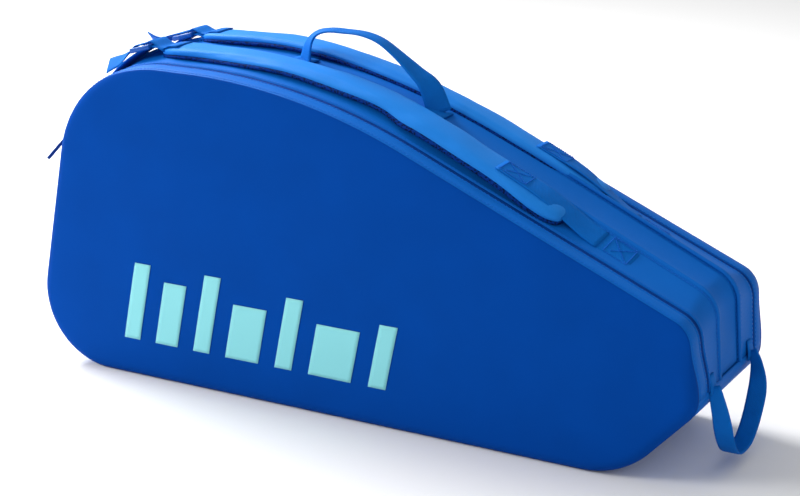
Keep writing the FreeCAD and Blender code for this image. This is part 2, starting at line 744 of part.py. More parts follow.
def make_end_loop():
    """The pulling loop that hangs from the nose, and its two sewn feet."""
    span = SIZES["loop_half_span"]
    elbow = SIZES["loop_elbow"]
    low = SIZES["loop_bottom"]
    high = SIZES["loop_top"]
    bend = SIZES["loop_bend"]
    points = [Vector(-span, high, 0), Vector(-elbow, low, 0), Vector(elbow, low, 0), Vector(span, high, 0)]
    body = DOC.addObject("PartDesign::Body", "end_loop_body")
    sketch = body.newObject("Sketcher::SketchObject", "end_loop_path")
    sketch.AttachmentSupport = (plane_of(body, "YZ_Plane"), [""])
    sketch.MapMode = "FlatFace"
    draw_ribbon(sketch, points, [bend, bend], SIZES["loop_wall"])
    pad = body.newObject("PartDesign::Pad", "end_loop_pad")
    pad.Profile = sketch
    pad.setExpression("Length", bound("loop_width"))
    body.setExpression("Placement.Base.x", bound("nose_reach", "loop_stand_off"))
    keep("end_loop", body)
    feet = [loop_foot("near_loop_foot", "-Sizes.loop_half_span"),
            loop_foot("far_loop_foot", "Sizes.loop_half_span")]
    keep("loop_feet", compound("loop_feet", feet))


def loop_foot(name, middle):
    """A sewn end of the loop, flat on the nose's gusset."""
    front = bound("nose_reach", "seam_gap")
    return block(name, (front, middle + " - Sizes.loop_foot_width / 2", bound("loop_foot_low")),
                 (front + " + " + bound("loop_wall"), middle + " + Sizes.loop_foot_width / 2",
                  bound("loop_foot_low", "loop_foot_length")))


def make_slider(which, where, angle):
    """A zip slider with the bridge its pull hangs from, on the track at the given point."""
    node = "front_%s_slider" % which
    body = DOC.addObject("PartDesign::Body", node + "_body")
    zero = "0"
    base_top = bound("seam_gap", "slider_wall")
    plate_middle = "Sizes.seam_gap + Sizes.slider_wall / 2"
    bridge_middle = "%s + Sizes.bridge_height / 2" % base_top
    add_box(body, node + "_plate", (zero, zero, plate_middle),
            (bound("slider_length"), bound("slider_width"), bound("slider_wall")))
    add_box(body, node + "_bridge", (zero, zero, bridge_middle),
            (bound("bridge_length"), bound("bridge_width"), bound("bridge_height")))
    hole = body.newObject("PartDesign::SubtractiveCylinder", node + "_eye")
    hole.AttachmentSupport = (plane_of(body, "XZ_Plane"), [""])
    hole.MapMode = "FlatFace"
    hole.setExpression("Radius", bound("bridge_hole"))
    hole.setExpression("Height", through("bridge_width"))
    hole.setExpression("AttachmentOffset.Base.y", bridge_middle)
    hole.setExpression("AttachmentOffset.Base.z", "-" + bound("bridge_width"))
    body.Tip = hole
    body.Placement = FreeCAD.Placement(Vector(where.x, -total(*ZIP_LINE), where.y),
                                       FreeCAD.Rotation(Vector(0, 1, 0), angle - 90))
    return keep(node, body)


def hang(where, angle, lift, splay):
    """The eye of a slider, the way its pull hangs from it and the turn that lays the pull along it."""
    up_track = Vector(math.sin(math.radians(angle)), 0, math.cos(math.radians(angle)))
    outward = Vector(-up_track.z, 0, up_track.x)
    eye_height = total("seam_gap", "slider_wall") + SIZES["bridge_height"] / 2
    eye = Vector(where.x, -total(*ZIP_LINE), where.y) + outward * eye_height
    lean = math.radians(lift)
    down = up_track * -math.cos(lean) + outward * math.sin(lean)
    face = up_track * math.sin(lean) + outward * math.cos(lean)
    tilt = math.radians(splay)
    down_splayed = down * math.cos(tilt) + Vector(0, -1, 0) * math.sin(tilt)
    return eye, down_splayed, FreeCAD.Rotation(down_splayed, face.cross(down_splayed), face, "XYZ")


def make_pull(which, where, angle, lift, splay):
    """A wire ring through the slider's eye and the tab that hangs on it."""
    eye, down, flat = hang(where, angle, lift, splay)
    ring_node = "front_%s_pull_ring" % which
    wire = DOC.addObject("Part::Torus", ring_node)
    wire.setExpression("Radius1", bound("ring_radius"))
    wire.setExpression("Radius2", bound("ring_wire"))
    wire.Placement = FreeCAD.Placement(eye + down * SIZES["ring_radius"], flat)
    keep(ring_node, wire)
    start = eye + down * (2 * SIZES["ring_radius"] + total("ring_wire", "seam_gap"))
    make_tab("front_%s_pull_tab" % which, FreeCAD.Placement(start, flat))


def make_tab(node, placement):
    """The moulded tab, with the eyelet its ring passes through."""
    body = DOC.addObject("PartDesign::Body", node + "_body")
    add_box(body, node + "_strip", ("Sizes.tab_length / 2", "0", "0"),
            (bound("tab_length"), bound("tab_width"), bound("tab_wall")))
    eyelet = body.newObject("PartDesign::SubtractiveCylinder", node + "_eyelet")
    eyelet.AttachmentSupport = (plane_of(body, "XZ_Plane"), [""])
    eyelet.MapMode = "FlatFace"
    eyelet.setExpression("Radius", bound("tab_eyelet"))
    eyelet.setExpression("Height", through("tab_width"))
    eyelet.setExpression("AttachmentOffset.Base.x", "Sizes.ring_wire * 2")
    eyelet.setExpression("AttachmentOffset.Base.z", "-Sizes.tab_width")
    body.Tip = eyelet
    body.Placement = placement
    keep(node, body)


def head_side_angle():
    """Lean of the straight head side from upright, in degrees."""
    lean = (SIZES["head_reach"] - SIZES["head_top_reach"]) / SIZES["rim_height"]
    return math.degrees(math.atan(lean))


def make_sliders():
    lean = head_side_angle()
    low_z = SIZES["low_slider_height"]
    low = Vector(-SIZES["head_reach"] + low_z * math.tan(math.radians(lean)), low_z, 0)
    centre = arc_centre(RIM, HEAD_TOP)
    high_angle = math.radians(SIZES["high_slider_angle"])
    high = centre + Vector(-math.cos(high_angle), math.sin(high_angle), 0) * SIZES["head_top_radius"]
    make_slider("low", low, lean)
    make_pull("low", low, lean, 0.0, -SIZES["pull_splay"])
    make_slider("high", high, SIZES["high_slider_angle"])
    make_pull("high", high, SIZES["high_slider_angle"], SIZES["high_pull_lift"], SIZES["pull_splay"])


def make_rear_half():
    """Mirror every front piece through the mid-plane."""
    for node in [name for name in NODES if name.startswith("front_")]:
        rear = DOC.addObject("Part::Mirroring", node.replace("front_", "rear_"))
        rear.Source = NODES[node]
        rear.Normal = Vector(0, 1, 0)
        keep(node.replace("front_", "rear_"), rear)


def check_document():
    for item in DOC.Objects:
        if "Invalid" in item.State or "Error" in item.State:
            raise RuntimeError("%s failed: %s" % (item.Name, item.State))
    for node, item in NODES.items():
        if item.Shape.isNull() or not item.Shape.isValid() or not item.Shape.Solids:
            raise RuntimeError("bad shape in " + node)


def write_parts():
    os.makedirs("parts", exist_ok=True)
    for node, item in NODES.items():
        item.Shape.exportStep("parts/%s.step" % node)


def main():
    DOC.recompute()
    make_bottom()
    make_spine()
    make_inner_gusset()
    make_divider()
    make_zip()
    make_outer_gusset()
    make_panel()
    make_lining()
    make_strap_pad()
    make_strap_webbing()
    make_ladder_lock()
    make_lock_webbing()
    make_handle()
    make_handle_patches()
    make_end_loop()
    make_sliders()
    DOC.recompute()
    make_rear_half()
    DOC.recompute()
    check_document()
    write_parts()
    for node, item in sorted(NODES.items()):
        box = item.Shape.BoundBox
        print("%-26s %d solid(s) %9.0f mm3  X %7.1f %7.1f  Y %7.1f %7.1f  Z %6.1f %6.1f" % (
            node, len(item.Shape.Solids), item.Shape.Volume, box.XMin, box.XMax, box.YMin, box.YMax,
            box.ZMin, box.ZMax))


main()
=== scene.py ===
import json
import math
import bpy
import bmesh
import numpy as np
from mathutils import Matrix, Vector, noise
from mathutils.geometry import delaunay_2d_cdt


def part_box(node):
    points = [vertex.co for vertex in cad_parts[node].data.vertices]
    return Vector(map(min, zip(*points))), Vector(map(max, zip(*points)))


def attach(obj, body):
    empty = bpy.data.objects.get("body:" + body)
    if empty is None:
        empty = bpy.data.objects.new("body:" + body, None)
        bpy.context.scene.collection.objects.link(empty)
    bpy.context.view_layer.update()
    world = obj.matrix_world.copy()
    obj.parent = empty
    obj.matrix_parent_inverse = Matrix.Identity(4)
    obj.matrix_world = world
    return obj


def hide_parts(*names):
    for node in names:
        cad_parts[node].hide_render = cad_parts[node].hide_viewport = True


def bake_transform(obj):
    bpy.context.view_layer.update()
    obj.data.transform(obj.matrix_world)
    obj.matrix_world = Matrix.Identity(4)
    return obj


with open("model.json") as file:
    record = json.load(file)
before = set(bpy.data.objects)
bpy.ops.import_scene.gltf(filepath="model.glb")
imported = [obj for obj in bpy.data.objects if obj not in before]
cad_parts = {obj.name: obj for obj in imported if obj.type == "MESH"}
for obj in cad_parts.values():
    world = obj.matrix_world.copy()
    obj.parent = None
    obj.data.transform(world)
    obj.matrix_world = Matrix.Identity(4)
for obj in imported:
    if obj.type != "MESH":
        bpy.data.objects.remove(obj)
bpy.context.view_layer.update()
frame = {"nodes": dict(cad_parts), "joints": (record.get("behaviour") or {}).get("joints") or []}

SIDES = (("front", -1.0), ("rear", 1.0))

# The two side outlines, as corners with radii: the compartment rim, and the taller crown over the spine.
RIM = [(-0.390, 0.0, 0.080), (0.3025, 0.0, 0.090), (0.375, 0.078, 0.030),
       (0.375, 0.16275, 0.034), (-0.0465, 0.344, 0.640), (-0.3212, 0.344, 0.132)]
CROWN = RIM[:3] + [(0.368, 0.171, 0.034), (-0.020, 0.350, 0.640), (-0.3212, 0.348, 0.132)]
ARC_STEPS = (26, 26, 8, 14, 50, 46)
SIDE_STEPS = (110, 12, 8, 78, 16, 34)
FOLD = 0.090
RIDGE, TAPE_INNER, TAPE_OUTER, SEAM = 0.028, 0.060, 0.066, 0.086    # distances from the mid-plane
CLOTH_WALL, TAPE_WALL, COIL_WALL, PANEL_WALL = 0.0018, 0.0008, 0.0014, 0.0015


# ---------------------------------------------------------------- outlines
def outline(corners):
    """Points round a rounded outline. Both outlines have the same points at matching places."""
    points = [np.array(corner[:2]) for corner in corners]
    arcs = []
    for i, corner in enumerate(corners):
        back, ahead = points[i - 1] - points[i], points[(i + 1) % len(points)] - points[i]
        back, ahead = back / np.linalg.norm(back), ahead / np.linalg.norm(ahead)
        half = math.acos(back @ ahead) / 2
        middle = (back + ahead) / np.linalg.norm(back + ahead)
        centre = points[i] + middle * corner[2] / math.sin(half)
        start = points[i] + back * corner[2] / math.tan(half) - centre
        first = math.atan2(start[1], start[0])
        sweep = math.pi - 2 * half
        angles = first + np.linspace(0, sweep, ARC_STEPS[i] + 1)
        arcs.append(centre + corner[2] * np.stack([np.cos(angles), np.sin(angles)], 1))
    rows = []
    for i, arc in enumerate(arcs):
        after = arcs[(i + 1) % len(arcs)][0]
        shares = np.linspace(0, 1, SIDE_STEPS[i] + 1)[1:-1, None]
        rows += [arc, arc[-1] * (1 - shares) + after * shares]
    return np.concatenate(rows)


def normals(loop):
    way = np.roll(loop, -1, 0) - np.roll(loop, 1, 0)
    way /= np.linalg.norm(way, axis=1)[:, None]
    return np.stack([way[:, 1], -way[:, 0]], 1)


RIM_LOOP, CROWN_LOOP = outline(RIM), outline(CROWN)
COUNT = len(RIM_LOOP)


def nearest(loop, x, z):
    return int(np.argmin(np.hypot(loop[:, 0] - x, loop[:, 1] - z)))


NOSE_FOLD = nearest(RIM_LOOP, RIM[2][0], FOLD)
HEAD_FOLD = nearest(RIM_LOOP, -0.372, FOLD)
UPPER = [i % COUNT for i in range(NOSE_FOLD, (HEAD_FOLD - NOSE_FOLD) % COUNT + NOSE_FOLD + 1)]
LOWER = [i % COUNT for i in range(HEAD_FOLD, (NOSE_FOLD - HEAD_FOLD) % COUNT + HEAD_FOLD + 1)]


def eased(share):
    share = min(max(share, 0), 1)
    return share * share * (3 - 2 * share)


# The soft tops sag: full along the top and nose, and none where the sliders run or at the fold.
SAG = np.array([eased((x + 0.345) / 0.110) * eased((z - 0.092) / 0.055) for x, z in RIM_LOOP])
ZIP_OUT, SEAM_OUT, ZIP_SINK, SEAM_SINK = 0.0090, 0.0080, 0.0060, 0.0075
SPINE_SINK = 0.0040


def sagging(i, y):
    """How far the cloth at outline point i has spread from the mid-plane, and how far it has sunk."""
    if abs(y) < RIDGE:
        return 0.0, SPINE_SINK * SAG[i] * math.cos(math.pi / 2 * y / RIDGE)
    slope = min(max((abs(y) - RIDGE) / (TAPE_INNER - RIDGE), 0), 1)
    rest = min(max((abs(y) - TAPE_OUTER) / (SEAM - TAPE_OUTER), 0), 1)
    spread = ZIP_OUT * slope + (SEAM_OUT - ZIP_OUT) * rest
    return spread * SAG[i], (ZIP_SINK * slope + (SEAM_SINK - ZIP_SINK) * rest) * SAG[i]


def surface_loop(y):
    """The side outline at a distance from the mid-plane: crown at the ridge, rim from the zip outwards."""
    share = min(max((abs(y) - RIDGE) / (TAPE_INNER - RIDGE), 0), 1)
    return CROWN_LOOP * (1 - share) + RIM_LOOP * share


# ---------------------------------------------------------------- meshes
def wave(x, y, z, scale, seed=0.0):
    return noise.noise(Vector((x / scale + seed, y / scale - seed, z / scale + 2 * seed)))


def mesh_object(name, points, faces, uvs=None):
    mesh = bpy.data.meshes.new(name)
    mesh.from_pydata([tuple(p) for p in points], [], faces)
    if uvs is not None:
        layer = mesh.uv_layers.new(name="UVMap")
        for loop in mesh.loops:
            layer.data[loop.index].uv = uvs[loop.vertex_index]
    for polygon in mesh.polygons:
        polygon.use_smooth = True
    mesh.validate()
    thing = bpy.data.objects.new(name, mesh)
    bpy.context.scene.collection.objects.link(thing)
    return thing


def outward(thing):
    """Turn a closed mesh's faces outwards."""
    work = bmesh.new()
    work.from_mesh(thing.data)
    bmesh.ops.recalc_face_normals(work, faces=work.faces)
    work.to_mesh(thing.data)
    work.free()
    return thing


def tube(name, rings):
    """A closed skin through rings of points, all with the same count. UVs are lengths along and around."""
    rings = np.array(rings, float)
    steps, around = rings.shape[:2]
    along = np.concatenate([[0], np.cumsum(np.linalg.norm(np.diff(rings.mean(1), axis=0), axis=1))])
    widths = np.linalg.norm(np.roll(rings[steps // 2], -1, 0) - rings[steps // 2], axis=1)
    across = np.concatenate([[0], np.cumsum(widths)[:-1]])
    uvs = [(along[i], across[j]) for i in range(steps) for j in range(around)]
    faces = [(i * around + j, i * around + (j + 1) % around,
              (i + 1) * around + (j + 1) % around, (i + 1) * around + j)
             for i in range(steps - 1) for j in range(around)]
    faces += [tuple(range(around)), tuple((steps - 1) * around + j for j in reversed(range(around)))]
    return outward(mesh_object(name, rings.reshape(-1, 3), faces, uvs))


def band(name, side, profile, indices):
    """Sweep a closed profile of (y, lift) round the bag, over the outline's points in indices."""
    rings = []
    loops = {y: surface_loop(y) for y, _ in profile}
    turns = {y: normals(loops[y]) for y in loops}
    for i in indices:
        ring = []
        for y, lift in profile:
            spread, sink = sagging(i, y)
            x, z = loops[y][i] + turns[y][i] * (lift - sink)
            ring.append((x, side * (y + spread), z))
        rings.append(ring)
    return tube(name, rings)


def layer(stations, wall):
    """A closed profile: outer stations of (y, lift), and back along the inside, a wall further in."""
    return list(stations) + [(y, lift - wall) for y, lift in reversed(stations)]


def bow(start, end, rise, edge=0.0, steps=10):
    """Stations across a strip of cloth that bellies out between its seams."""
    out = []
    for k in range(steps + 1):
        share = k / steps
        out.append((start + (end - start) * share, edge + rise * math.sin(math.pi * share) ** 0.7))
    return out


def ribbon(name, centres, sides, widths, wall, steps=6):
    """Webbing along a smooth path: centres, and at the same places the way its width points and the width."""
    widths = [widths] * len(centres) if isinstance(widths, float) else widths
    centres, sides = resample(np.array(centres, float), np.array(sides, float))
    way = np.gradient(centres, axis=0)
    way /= np.linalg.norm(way, axis=1)[:, None]
    sides -= way * np.sum(sides * way, 1)[:, None]
    sides /= np.linalg.norm(sides, axis=1)[:, None]
    ups = np.cross(way, sides)
    rings = []
    stations = np.linspace(0, len(widths) - 1, len(centres))
    for place, centre, side, up in zip(stations, centres, sides, ups):
        half = np.interp(place, range(len(widths)), widths) / 2
        flat = [(-half + 2 * half * k / steps) for k in range(steps + 1)]
        top = [centre + side * w + up * wall / 2 * edge_fall(w, half) for w in flat]
        low = [centre + side * w - up * wall / 2 * edge_fall(w, half) for w in reversed(flat)]
        rings.append(top + low)
    return tube(name, rings)


def edge_fall(w, half):
    """Webbing is a little thinner at its two selvedges."""
    return 1.0 if abs(w) < half * 0.95 else 0.55


def spline(points, steps):
    """Catmull-Rom through the points."""
    padded = np.concatenate([[2 * points[0] - points[1]], points, [2 * points[-1] - points[-2]]])
    out = []
    for i in range(len(points) - 1):
        a, b, c, d = padded[i:i + 4]
        for k in range(steps):
            t = k / steps
            out.append(0.5 * (2 * b + (c - a) * t + (2 * a - 5 * b + 4 * c - d) * t ** 2
                              + (3 * b - a - 3 * c + d) * t ** 3))
    out.append(points[-1])
    return np.array(out)


def resample(centres, sides, spacing=0.004):
    steps = 12
    path, turn = spline(centres, steps), spline(sides, steps)
    lengths = np.concatenate([[0], np.cumsum(np.linalg.norm(np.diff(path, axis=0), axis=1))])
    count = max(int(lengths[-1] / spacing), 3)
    wanted = np.linspace(0, lengths[-1], count + 1)
    pick = lambda rows: np.stack([np.interp(wanted, lengths, rows[:, k]) for k in range(3)], 1)
    return pick(path), pick(turn)


def apply_modifiers(thing):
    bpy.context.view_layer.update()
    graph = bpy.context.evaluated_depsgraph_get()
    mesh = bpy.data.meshes.new_from_object(thing.evaluated_get(graph))
    thing.modifiers.clear()
    thing.data = mesh
    for polygon in mesh.polygons:
        polygon.use_smooth = True


def solidify(thing, wall, offset=-1.0):
    shell = thing.modifiers.new("wall", "SOLIDIFY")
    shell.thickness = wall
    shell.offset = offset
    apply_modifiers(thing)


# ---------------------------------------------------------------- materials
def node_material(name, base, rough, sheen=0.0, metallic=0.0, coat=0.0, gloss=0.3, ior=1.45):
    material = bpy.data.materials.new(name)
    material.use_nodes = True
    shader = material.node_tree.nodes["Principled BSDF"]
    shader.inputs["Base Color"].default_value = (*base, 1)
    shader.inputs["Roughness"].default_value = rough
    shader.inputs["Metallic"].default_value = metallic
    shader.inputs["Sheen Weight"].default_value = sheen
    shader.inputs["Sheen Roughness"].default_value = 0.45
    shader.inputs["Sheen Tint"].default_value = (0.35, 0.65, 1.0, 1)
    shader.inputs["Coat Weight"].default_value = coat
    shader.inputs["Specular IOR Level"].default_value = gloss
    shader.inputs["IOR"].default_value = ior
    return material, material.node_tree, shader


def add(tree, kind, **inputs):
    node = tree.nodes.new(kind)
    for key, value in inputs.items():
        if key in node.inputs:
            node.inputs[key].default_value = value
        else:
            setattr(node, key, value)
    return node


def math_node(tree, operation, a, b=None):
    node = tree.nodes.new("ShaderNodeMath")
    node.operation = operation
    for socket, value in ((node.inputs[0], a), (node.inputs[1], b)):
        if value is None:
            continue
        if isinstance(value, (int, float)):
            socket.default_value = value
        else:
            tree.links.new(value, socket)
    return node.outputs[0]


def coordinates(tree, which):
    return tree.nodes.new("ShaderNodeTexCoord").outputs[which]


def mottled(tree, shader, base, source, amount=0.10, scale=18.0):
    """Broad and fine colour variation over a base colour."""
    broad = add(tree, "ShaderNodeTexNoise", Scale=scale, Detail=3.0)
    tree.links.new(source, broad.inputs["Vector"])
    mix = add(tree, "ShaderNodeMix", data_type="RGBA")
    mix.inputs[6].default_value = (*[c * (1 - amount) for c in base], 1)
    mix.inputs[7].default_value = (*[min(c * (1 + amount), 1) for c in base], 1)
    tree.links.new(broad.outputs["Fac"], mix.inputs[0])
    tree.links.new(mix.outputs[2], shader.inputs["Base Color"])


def bump(tree, shader, height, strength, distance):
    node = add(tree, "ShaderNodeBump", Strength=strength, Distance=distance)
    tree.links.new(height, node.inputs["Height"])
    tree.links.new(node.outputs["Normal"], shader.inputs["Normal"])


CLOTH_IOR = 1.2
FIBRE_BUMP, WEAVE_BUMP, MESH_BUMP, COIL_BUMP = 0.00012, 0.0003, 0.0006, 0.0005
COIL_PITCH = 0.0015


def fabric(name, base, rough=0.62, sheen=0.25, thread=0.0011, strength=0.25, gloss=0.2):
    """Fine plain weave, the same in all directions: three crossed families of ribs."""
    material, tree, shader = node_material(name, base, rough, sheen, gloss=gloss, ior=CLOTH_IOR)
    place = coordinates(tree, "Object")
    mottled(tree, shader, base, place)
    parts = add(tree, "ShaderNodeSeparateXYZ")
    tree.links.new(place, parts.inputs[0])
    ribs = [math_node(tree, "SINE", math_node(tree, "MULTIPLY", parts.outputs[k], 2 * math.pi / thread))
            for k in range(3)]
    cloth = math_node(tree, "ADD", math_node(tree, "MULTIPLY", ribs[0], ribs[2]),
                      math_node(tree, "MULTIPLY", ribs[0], ribs[1]))
    bump(tree, shader, cloth, strength, FIBRE_BUMP)
    return material


def webbing_material(name, base, pitch=0.0017):
    """Ribs across the webbing and fine lines along it."""
    material, tree, shader = node_material(name, base, 0.60, 0.0, gloss=0.20, ior=CLOTH_IOR)
    uv = coordinates(tree, "UV")
    mottled(tree, shader, base, coordinates(tree, "Object"), 0.14, 60.0)
    parts = add(tree, "ShaderNodeSeparateXYZ")
    tree.links.new(uv, parts.inputs[0])
    along = math_node(tree, "SINE", math_node(tree, "MULTIPLY", parts.outputs[0], 2 * math.pi / pitch))
    turns = 2 * math.pi / (pitch * 1.6)
    across = math_node(tree, "SINE", math_node(tree, "MULTIPLY", parts.outputs[1], turns))
    bump(tree, shader, math_node(tree, "MULTIPLY", along, across), 0.5, WEAVE_BUMP)
    return material


def mesh_material(name, base):
    """Air mesh: rows of small holes, drawn as dark cells in the colour: painted shade inside the holes."""
    material, tree, shader = node_material(name, base, 0.7, 0.0, gloss=0.05)
    cells = add(tree, "ShaderNodeTexVoronoi", Scale=420.0)
    tree.links.new(coordinates(tree, "Object"), cells.inputs["Vector"])
    # painted shade: the cell centres are darkened to 0.12 of the base, standing in for the holes' shade
    ramp = add(tree, "ShaderNodeValToRGB")
    ramp.color_ramp.elements[0].position = 0.25
    ramp.color_ramp.elements[0].color = (*[c * 0.12 for c in base], 1)
    ramp.color_ramp.elements[1].position = 0.6
    ramp.color_ramp.elements[1].color = (*[c * 1.25 for c in base], 1)
    tree.links.new(cells.outputs["Distance"], ramp.inputs[0])
    tree.links.new(ramp.outputs[0], shader.inputs["Base Color"])
    bump(tree, shader, cells.outputs["Distance"], 0.6, MESH_BUMP)
    return material


def coil_material(name, base):
    """Turns of a nylon coil."""
    material, tree, shader = node_material(name, base, 0.45)
    parts = add(tree, "ShaderNodeSeparateXYZ")
    tree.links.new(coordinates(tree, "UV"), parts.inputs[0])
    turns = math_node(tree, "SINE", math_node(tree, "MULTIPLY", parts.outputs[0], 2 * math.pi / COIL_PITCH))
    bump(tree, shader, turns, 0.8, COIL_BUMP)
    return material


BLUE = (0.0, 0.046, 0.275)
MATERIALS = {
    "panel_fabric": fabric("panel_fabric", BLUE, 0.60, 0.0, 0.0011, 0.10, 0.10),
    # painted top light: the bands, spine, ridge and bottom use the panels' blue painted lighter, standing in
    # for light falling on top faces
    "gusset_fabric": fabric("gusset_fabric", (0.002, 0.112, 0.47), 0.55, 0.0, gloss=0.30),
    # painted highlight: the straps' cloth is the panels' blue painted much lighter, standing in for light on
    # the pads' tops
    "strap_fabric": fabric("strap_fabric", (0.010, 0.185, 0.62), 0.50, 0.0, gloss=0.40),
    # partly the mesh's own darker blue, partly painted shade: darkened to stand for the straps' shaded sides
    "strap_mesh": mesh_material("strap_mesh", (0.0, 0.022, 0.16)),
    "webbing": webbing_material("webbing", (0.002, 0.118, 0.47)),
    "lining": fabric("lining", (0.045, 0.05, 0.06), 0.8, 0.2, 0.0016, 0.3),
    "zip_tape": webbing_material("zip_tape", (0.0, 0.040, 0.24), 0.0009),
    "zip_coil": coil_material("zip_coil", (0.0, 0.008, 0.07)),
    "pull_metal": node_material("pull_metal", (0.01, 0.07, 0.30), 0.32, 0.0, 0.55, 0.4)[0],
    "pull_cord": webbing_material("pull_cord", (0.003, 0.035, 0.20), 0.0013),
    "lock_plastic": node_material("lock_plastic", (0.0, 0.080, 0.36), 0.32, gloss=0.35)[0],
    "board": node_material("board", (0.03, 0.03, 0.035), 0.5)[0],
}
THREAD = node_material("thread", (0.004, 0.115, 0.55), 0.6, 0.05, gloss=0.1)[0]
PRINT = node_material("print", (0.20, 0.56, 0.60), 0.5, 0.0)[0]


def finish_piece(thing, nodes, slot, body=None, material=None):
    thing.data.materials.clear()
    thing.data.materials.append(material or MATERIALS[slot])
    if nodes:
        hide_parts(*nodes)
    if body:
        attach(thing, body)


def fold_with_shell(thing):
    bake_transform(thing)


def side_sign(side):
    return dict(SIDES)[side]


# ---------------------------------------------------------------- side panels
PANEL_EDGE = 0.012
PANEL_RIM = 0.0955
PANEL_LOOP = RIM_LOOP - normals(RIM_LOOP) * SEAM_SINK * SAG[:, None]


def inset_distance(points, loop):
    """Distance of points inside a closed outline from its sides."""
    a, b = loop, np.roll(loop, -1, 0)
    ab = b - a
    best = np.full(len(points), 1.0)
    for start in range(0, len(points), 400):
        p = points[start:start + 400, None, :]
        t = np.clip(((p - a) * ab).sum(2) / (ab ** 2).sum(1), 0, 1)
        best[start:start + 400] = np.linalg.norm(p - (a + t[..., None] * ab), axis=2).min(1)
    return best


def inside(points, loop):
    x, z = points[:, 0], points[:, 1]
    a, b = loop, np.roll(loop, -1, 0)
    hit = np.zeros(len(points), bool)
    for (x1, z1), (x2, z2) in zip(a, b):
        if z1 == z2:
            continue
        cross = ((z1 > z) != (z2 > z)) & (x < (x2 - x1) * (z - z1) / (z2 - z1) + x1)
        hit ^= cross
    return hit


def panel_depth(x, z, inset, seam=SEAM):
    """How far the side panel stands from the mid-plane at a point of its outline's plane."""
    rim = 1 - min(inset / PANEL_EDGE, 1)
    edge = math.sqrt(max(1 - rim * rim, 0))
    belly = 1 - math.exp(-inset / 0.055)
    drift = wave(x, 0, z, 0.11, 3.1) * 0.0013 + wave(x, 0, z, 0.045, 7.7) * 0.00035
    return seam + (PANEL_RIM - seam) * edge + (0.0045 + drift) * belly


def filled(loop, insets, spacing):
    """Points and faces that fill an outline, rings near its edge and then a grid, and each point's inset."""
    turn = normals(loop)
    rings = [loop - turn * inset for inset in insets]
    edge = np.concatenate(rings)
    levels = np.concatenate([np.full(len(loop), inset) for inset in insets])
    faces = [(r * len(loop) + j, r * len(loop) + (j + 1) % len(loop),
              (r + 1) * len(loop) + (j + 1) % len(loop), (r + 1) * len(loop) + j)
             for r in range(len(rings) - 1) for j in range(len(loop))]
    low, high = loop.min(0), loop.max(0)
    xs, zs = np.arange(low[0], high[0], spacing), np.arange(low[1], high[1], spacing * 0.87)
    grid = np.array([(x + (spacing / 2 if k % 2 else 0), z) for k, z in enumerate(zs) for x in xs])
    grid = grid[inside(grid, rings[-1])]
    far = inset_distance(grid, loop)
    keep = far > insets[-1] + spacing * 0.55
    grid, far = grid[keep], far[keep]
    inner = [Vector(p) for p in rings[-1]] + [Vector(p) for p in grid]
    border = [(j, (j + 1) % len(loop)) for j in range(len(loop))]
    _, _, triangles, origins, _, _ = delaunay_2d_cdt(inner, border, [], 1, 1e-6)[:6]
    first = (len(rings) - 1) * len(loop)
    lookup = [group[0] for group in origins]
    faces += [tuple(first + lookup[v] for v in triangle) for triangle in triangles]
    return np.concatenate([edge, grid]), np.concatenate([levels, far]), faces


EDGE_RINGS = [PANEL_EDGE * (1 - math.cos(math.pi / 2 * k / 7)) for k in range(8)] + [0.016, 0.021]
PANEL_FLAT, PANEL_INSETS, PANEL_FACES = filled(PANEL_LOOP, EDGE_RINGS, 0.0085)
PANEL_SEAMS = np.full(len(PANEL_FLAT), SEAM)
PANEL_SEAMS[:len(EDGE_RINGS) * COUNT] += np.tile(SAG, len(EDGE_RINGS)) * SEAM_OUT


def make_panel(side, sign):
    points = [(x, sign * panel_depth(x, z, inset, seam), z)
              for (x, z), inset, seam in zip(PANEL_FLAT, PANEL_INSETS, PANEL_SEAMS)]
    uvs = [(x, z) for x, z in PANEL_FLAT]
    faces = PANEL_FACES if sign < 0 else [tuple(reversed(f)) for f in PANEL_FACES]
    thing = mesh_object(side + "_panel_skin", points, faces, uvs)
    solidify(thing, PANEL_WALL)
    finish_piece(thing, [side + "_panel", side + "_lower_panel"], "panel_fabric")
    fold_with_shell(thing)


LINING_FLAT, LINING_INSETS, LINING_FACES = filled(PANEL_LOOP, [0.0105, 0.0125, 0.016], 0.012)


def make_lining(side, sign):
    """Foam-backed lining with shallow quilting channels."""
    points = []
    for (x, z), inset in zip(LINING_FLAT, LINING_INSETS):
        channel = abs(math.sin(math.pi * (x + 0.5 * z) / 0.09))
        puff = 0.0012 * min(channel * 3, 1)
        points.append((x, sign * (panel_depth(x, z, inset) - 0.0022 - 0.0030 - puff), z))
    faces = LINING_FACES if sign < 0 else [tuple(reversed(f)) for f in LINING_FACES]
    thing = mesh_object(side + "_lining_skin", points, faces, [tuple(p) for p in LINING_FLAT])
    solidify(thing, 0.0028, 1.0)
    finish_piece(thing, [side + "_lining", side + "_lower_lining"], "lining")
    fold_with_shell(thing)


DIVIDER = 0.0260


def make_divider(side, sign):
    flat, _, faces = filled(CROWN_LOOP, [0.0056, 0.0070, 0.011], 0.014)
    points = [(x, sign * (DIVIDER + 0.0008 * min(abs(math.sin(math.pi * x / 0.11)) * 3, 1)), z)
              for x, z in flat]
    faces = faces if sign < 0 else [tuple(reversed(f)) for f in faces]
    thing = mesh_object(side + "_divider_skin", points, faces, [tuple(p) for p in flat])
    solidify(thing, 0.0022, -1.0)
    finish_piece(thing, [side + "_divider"], "lining", "chassis")


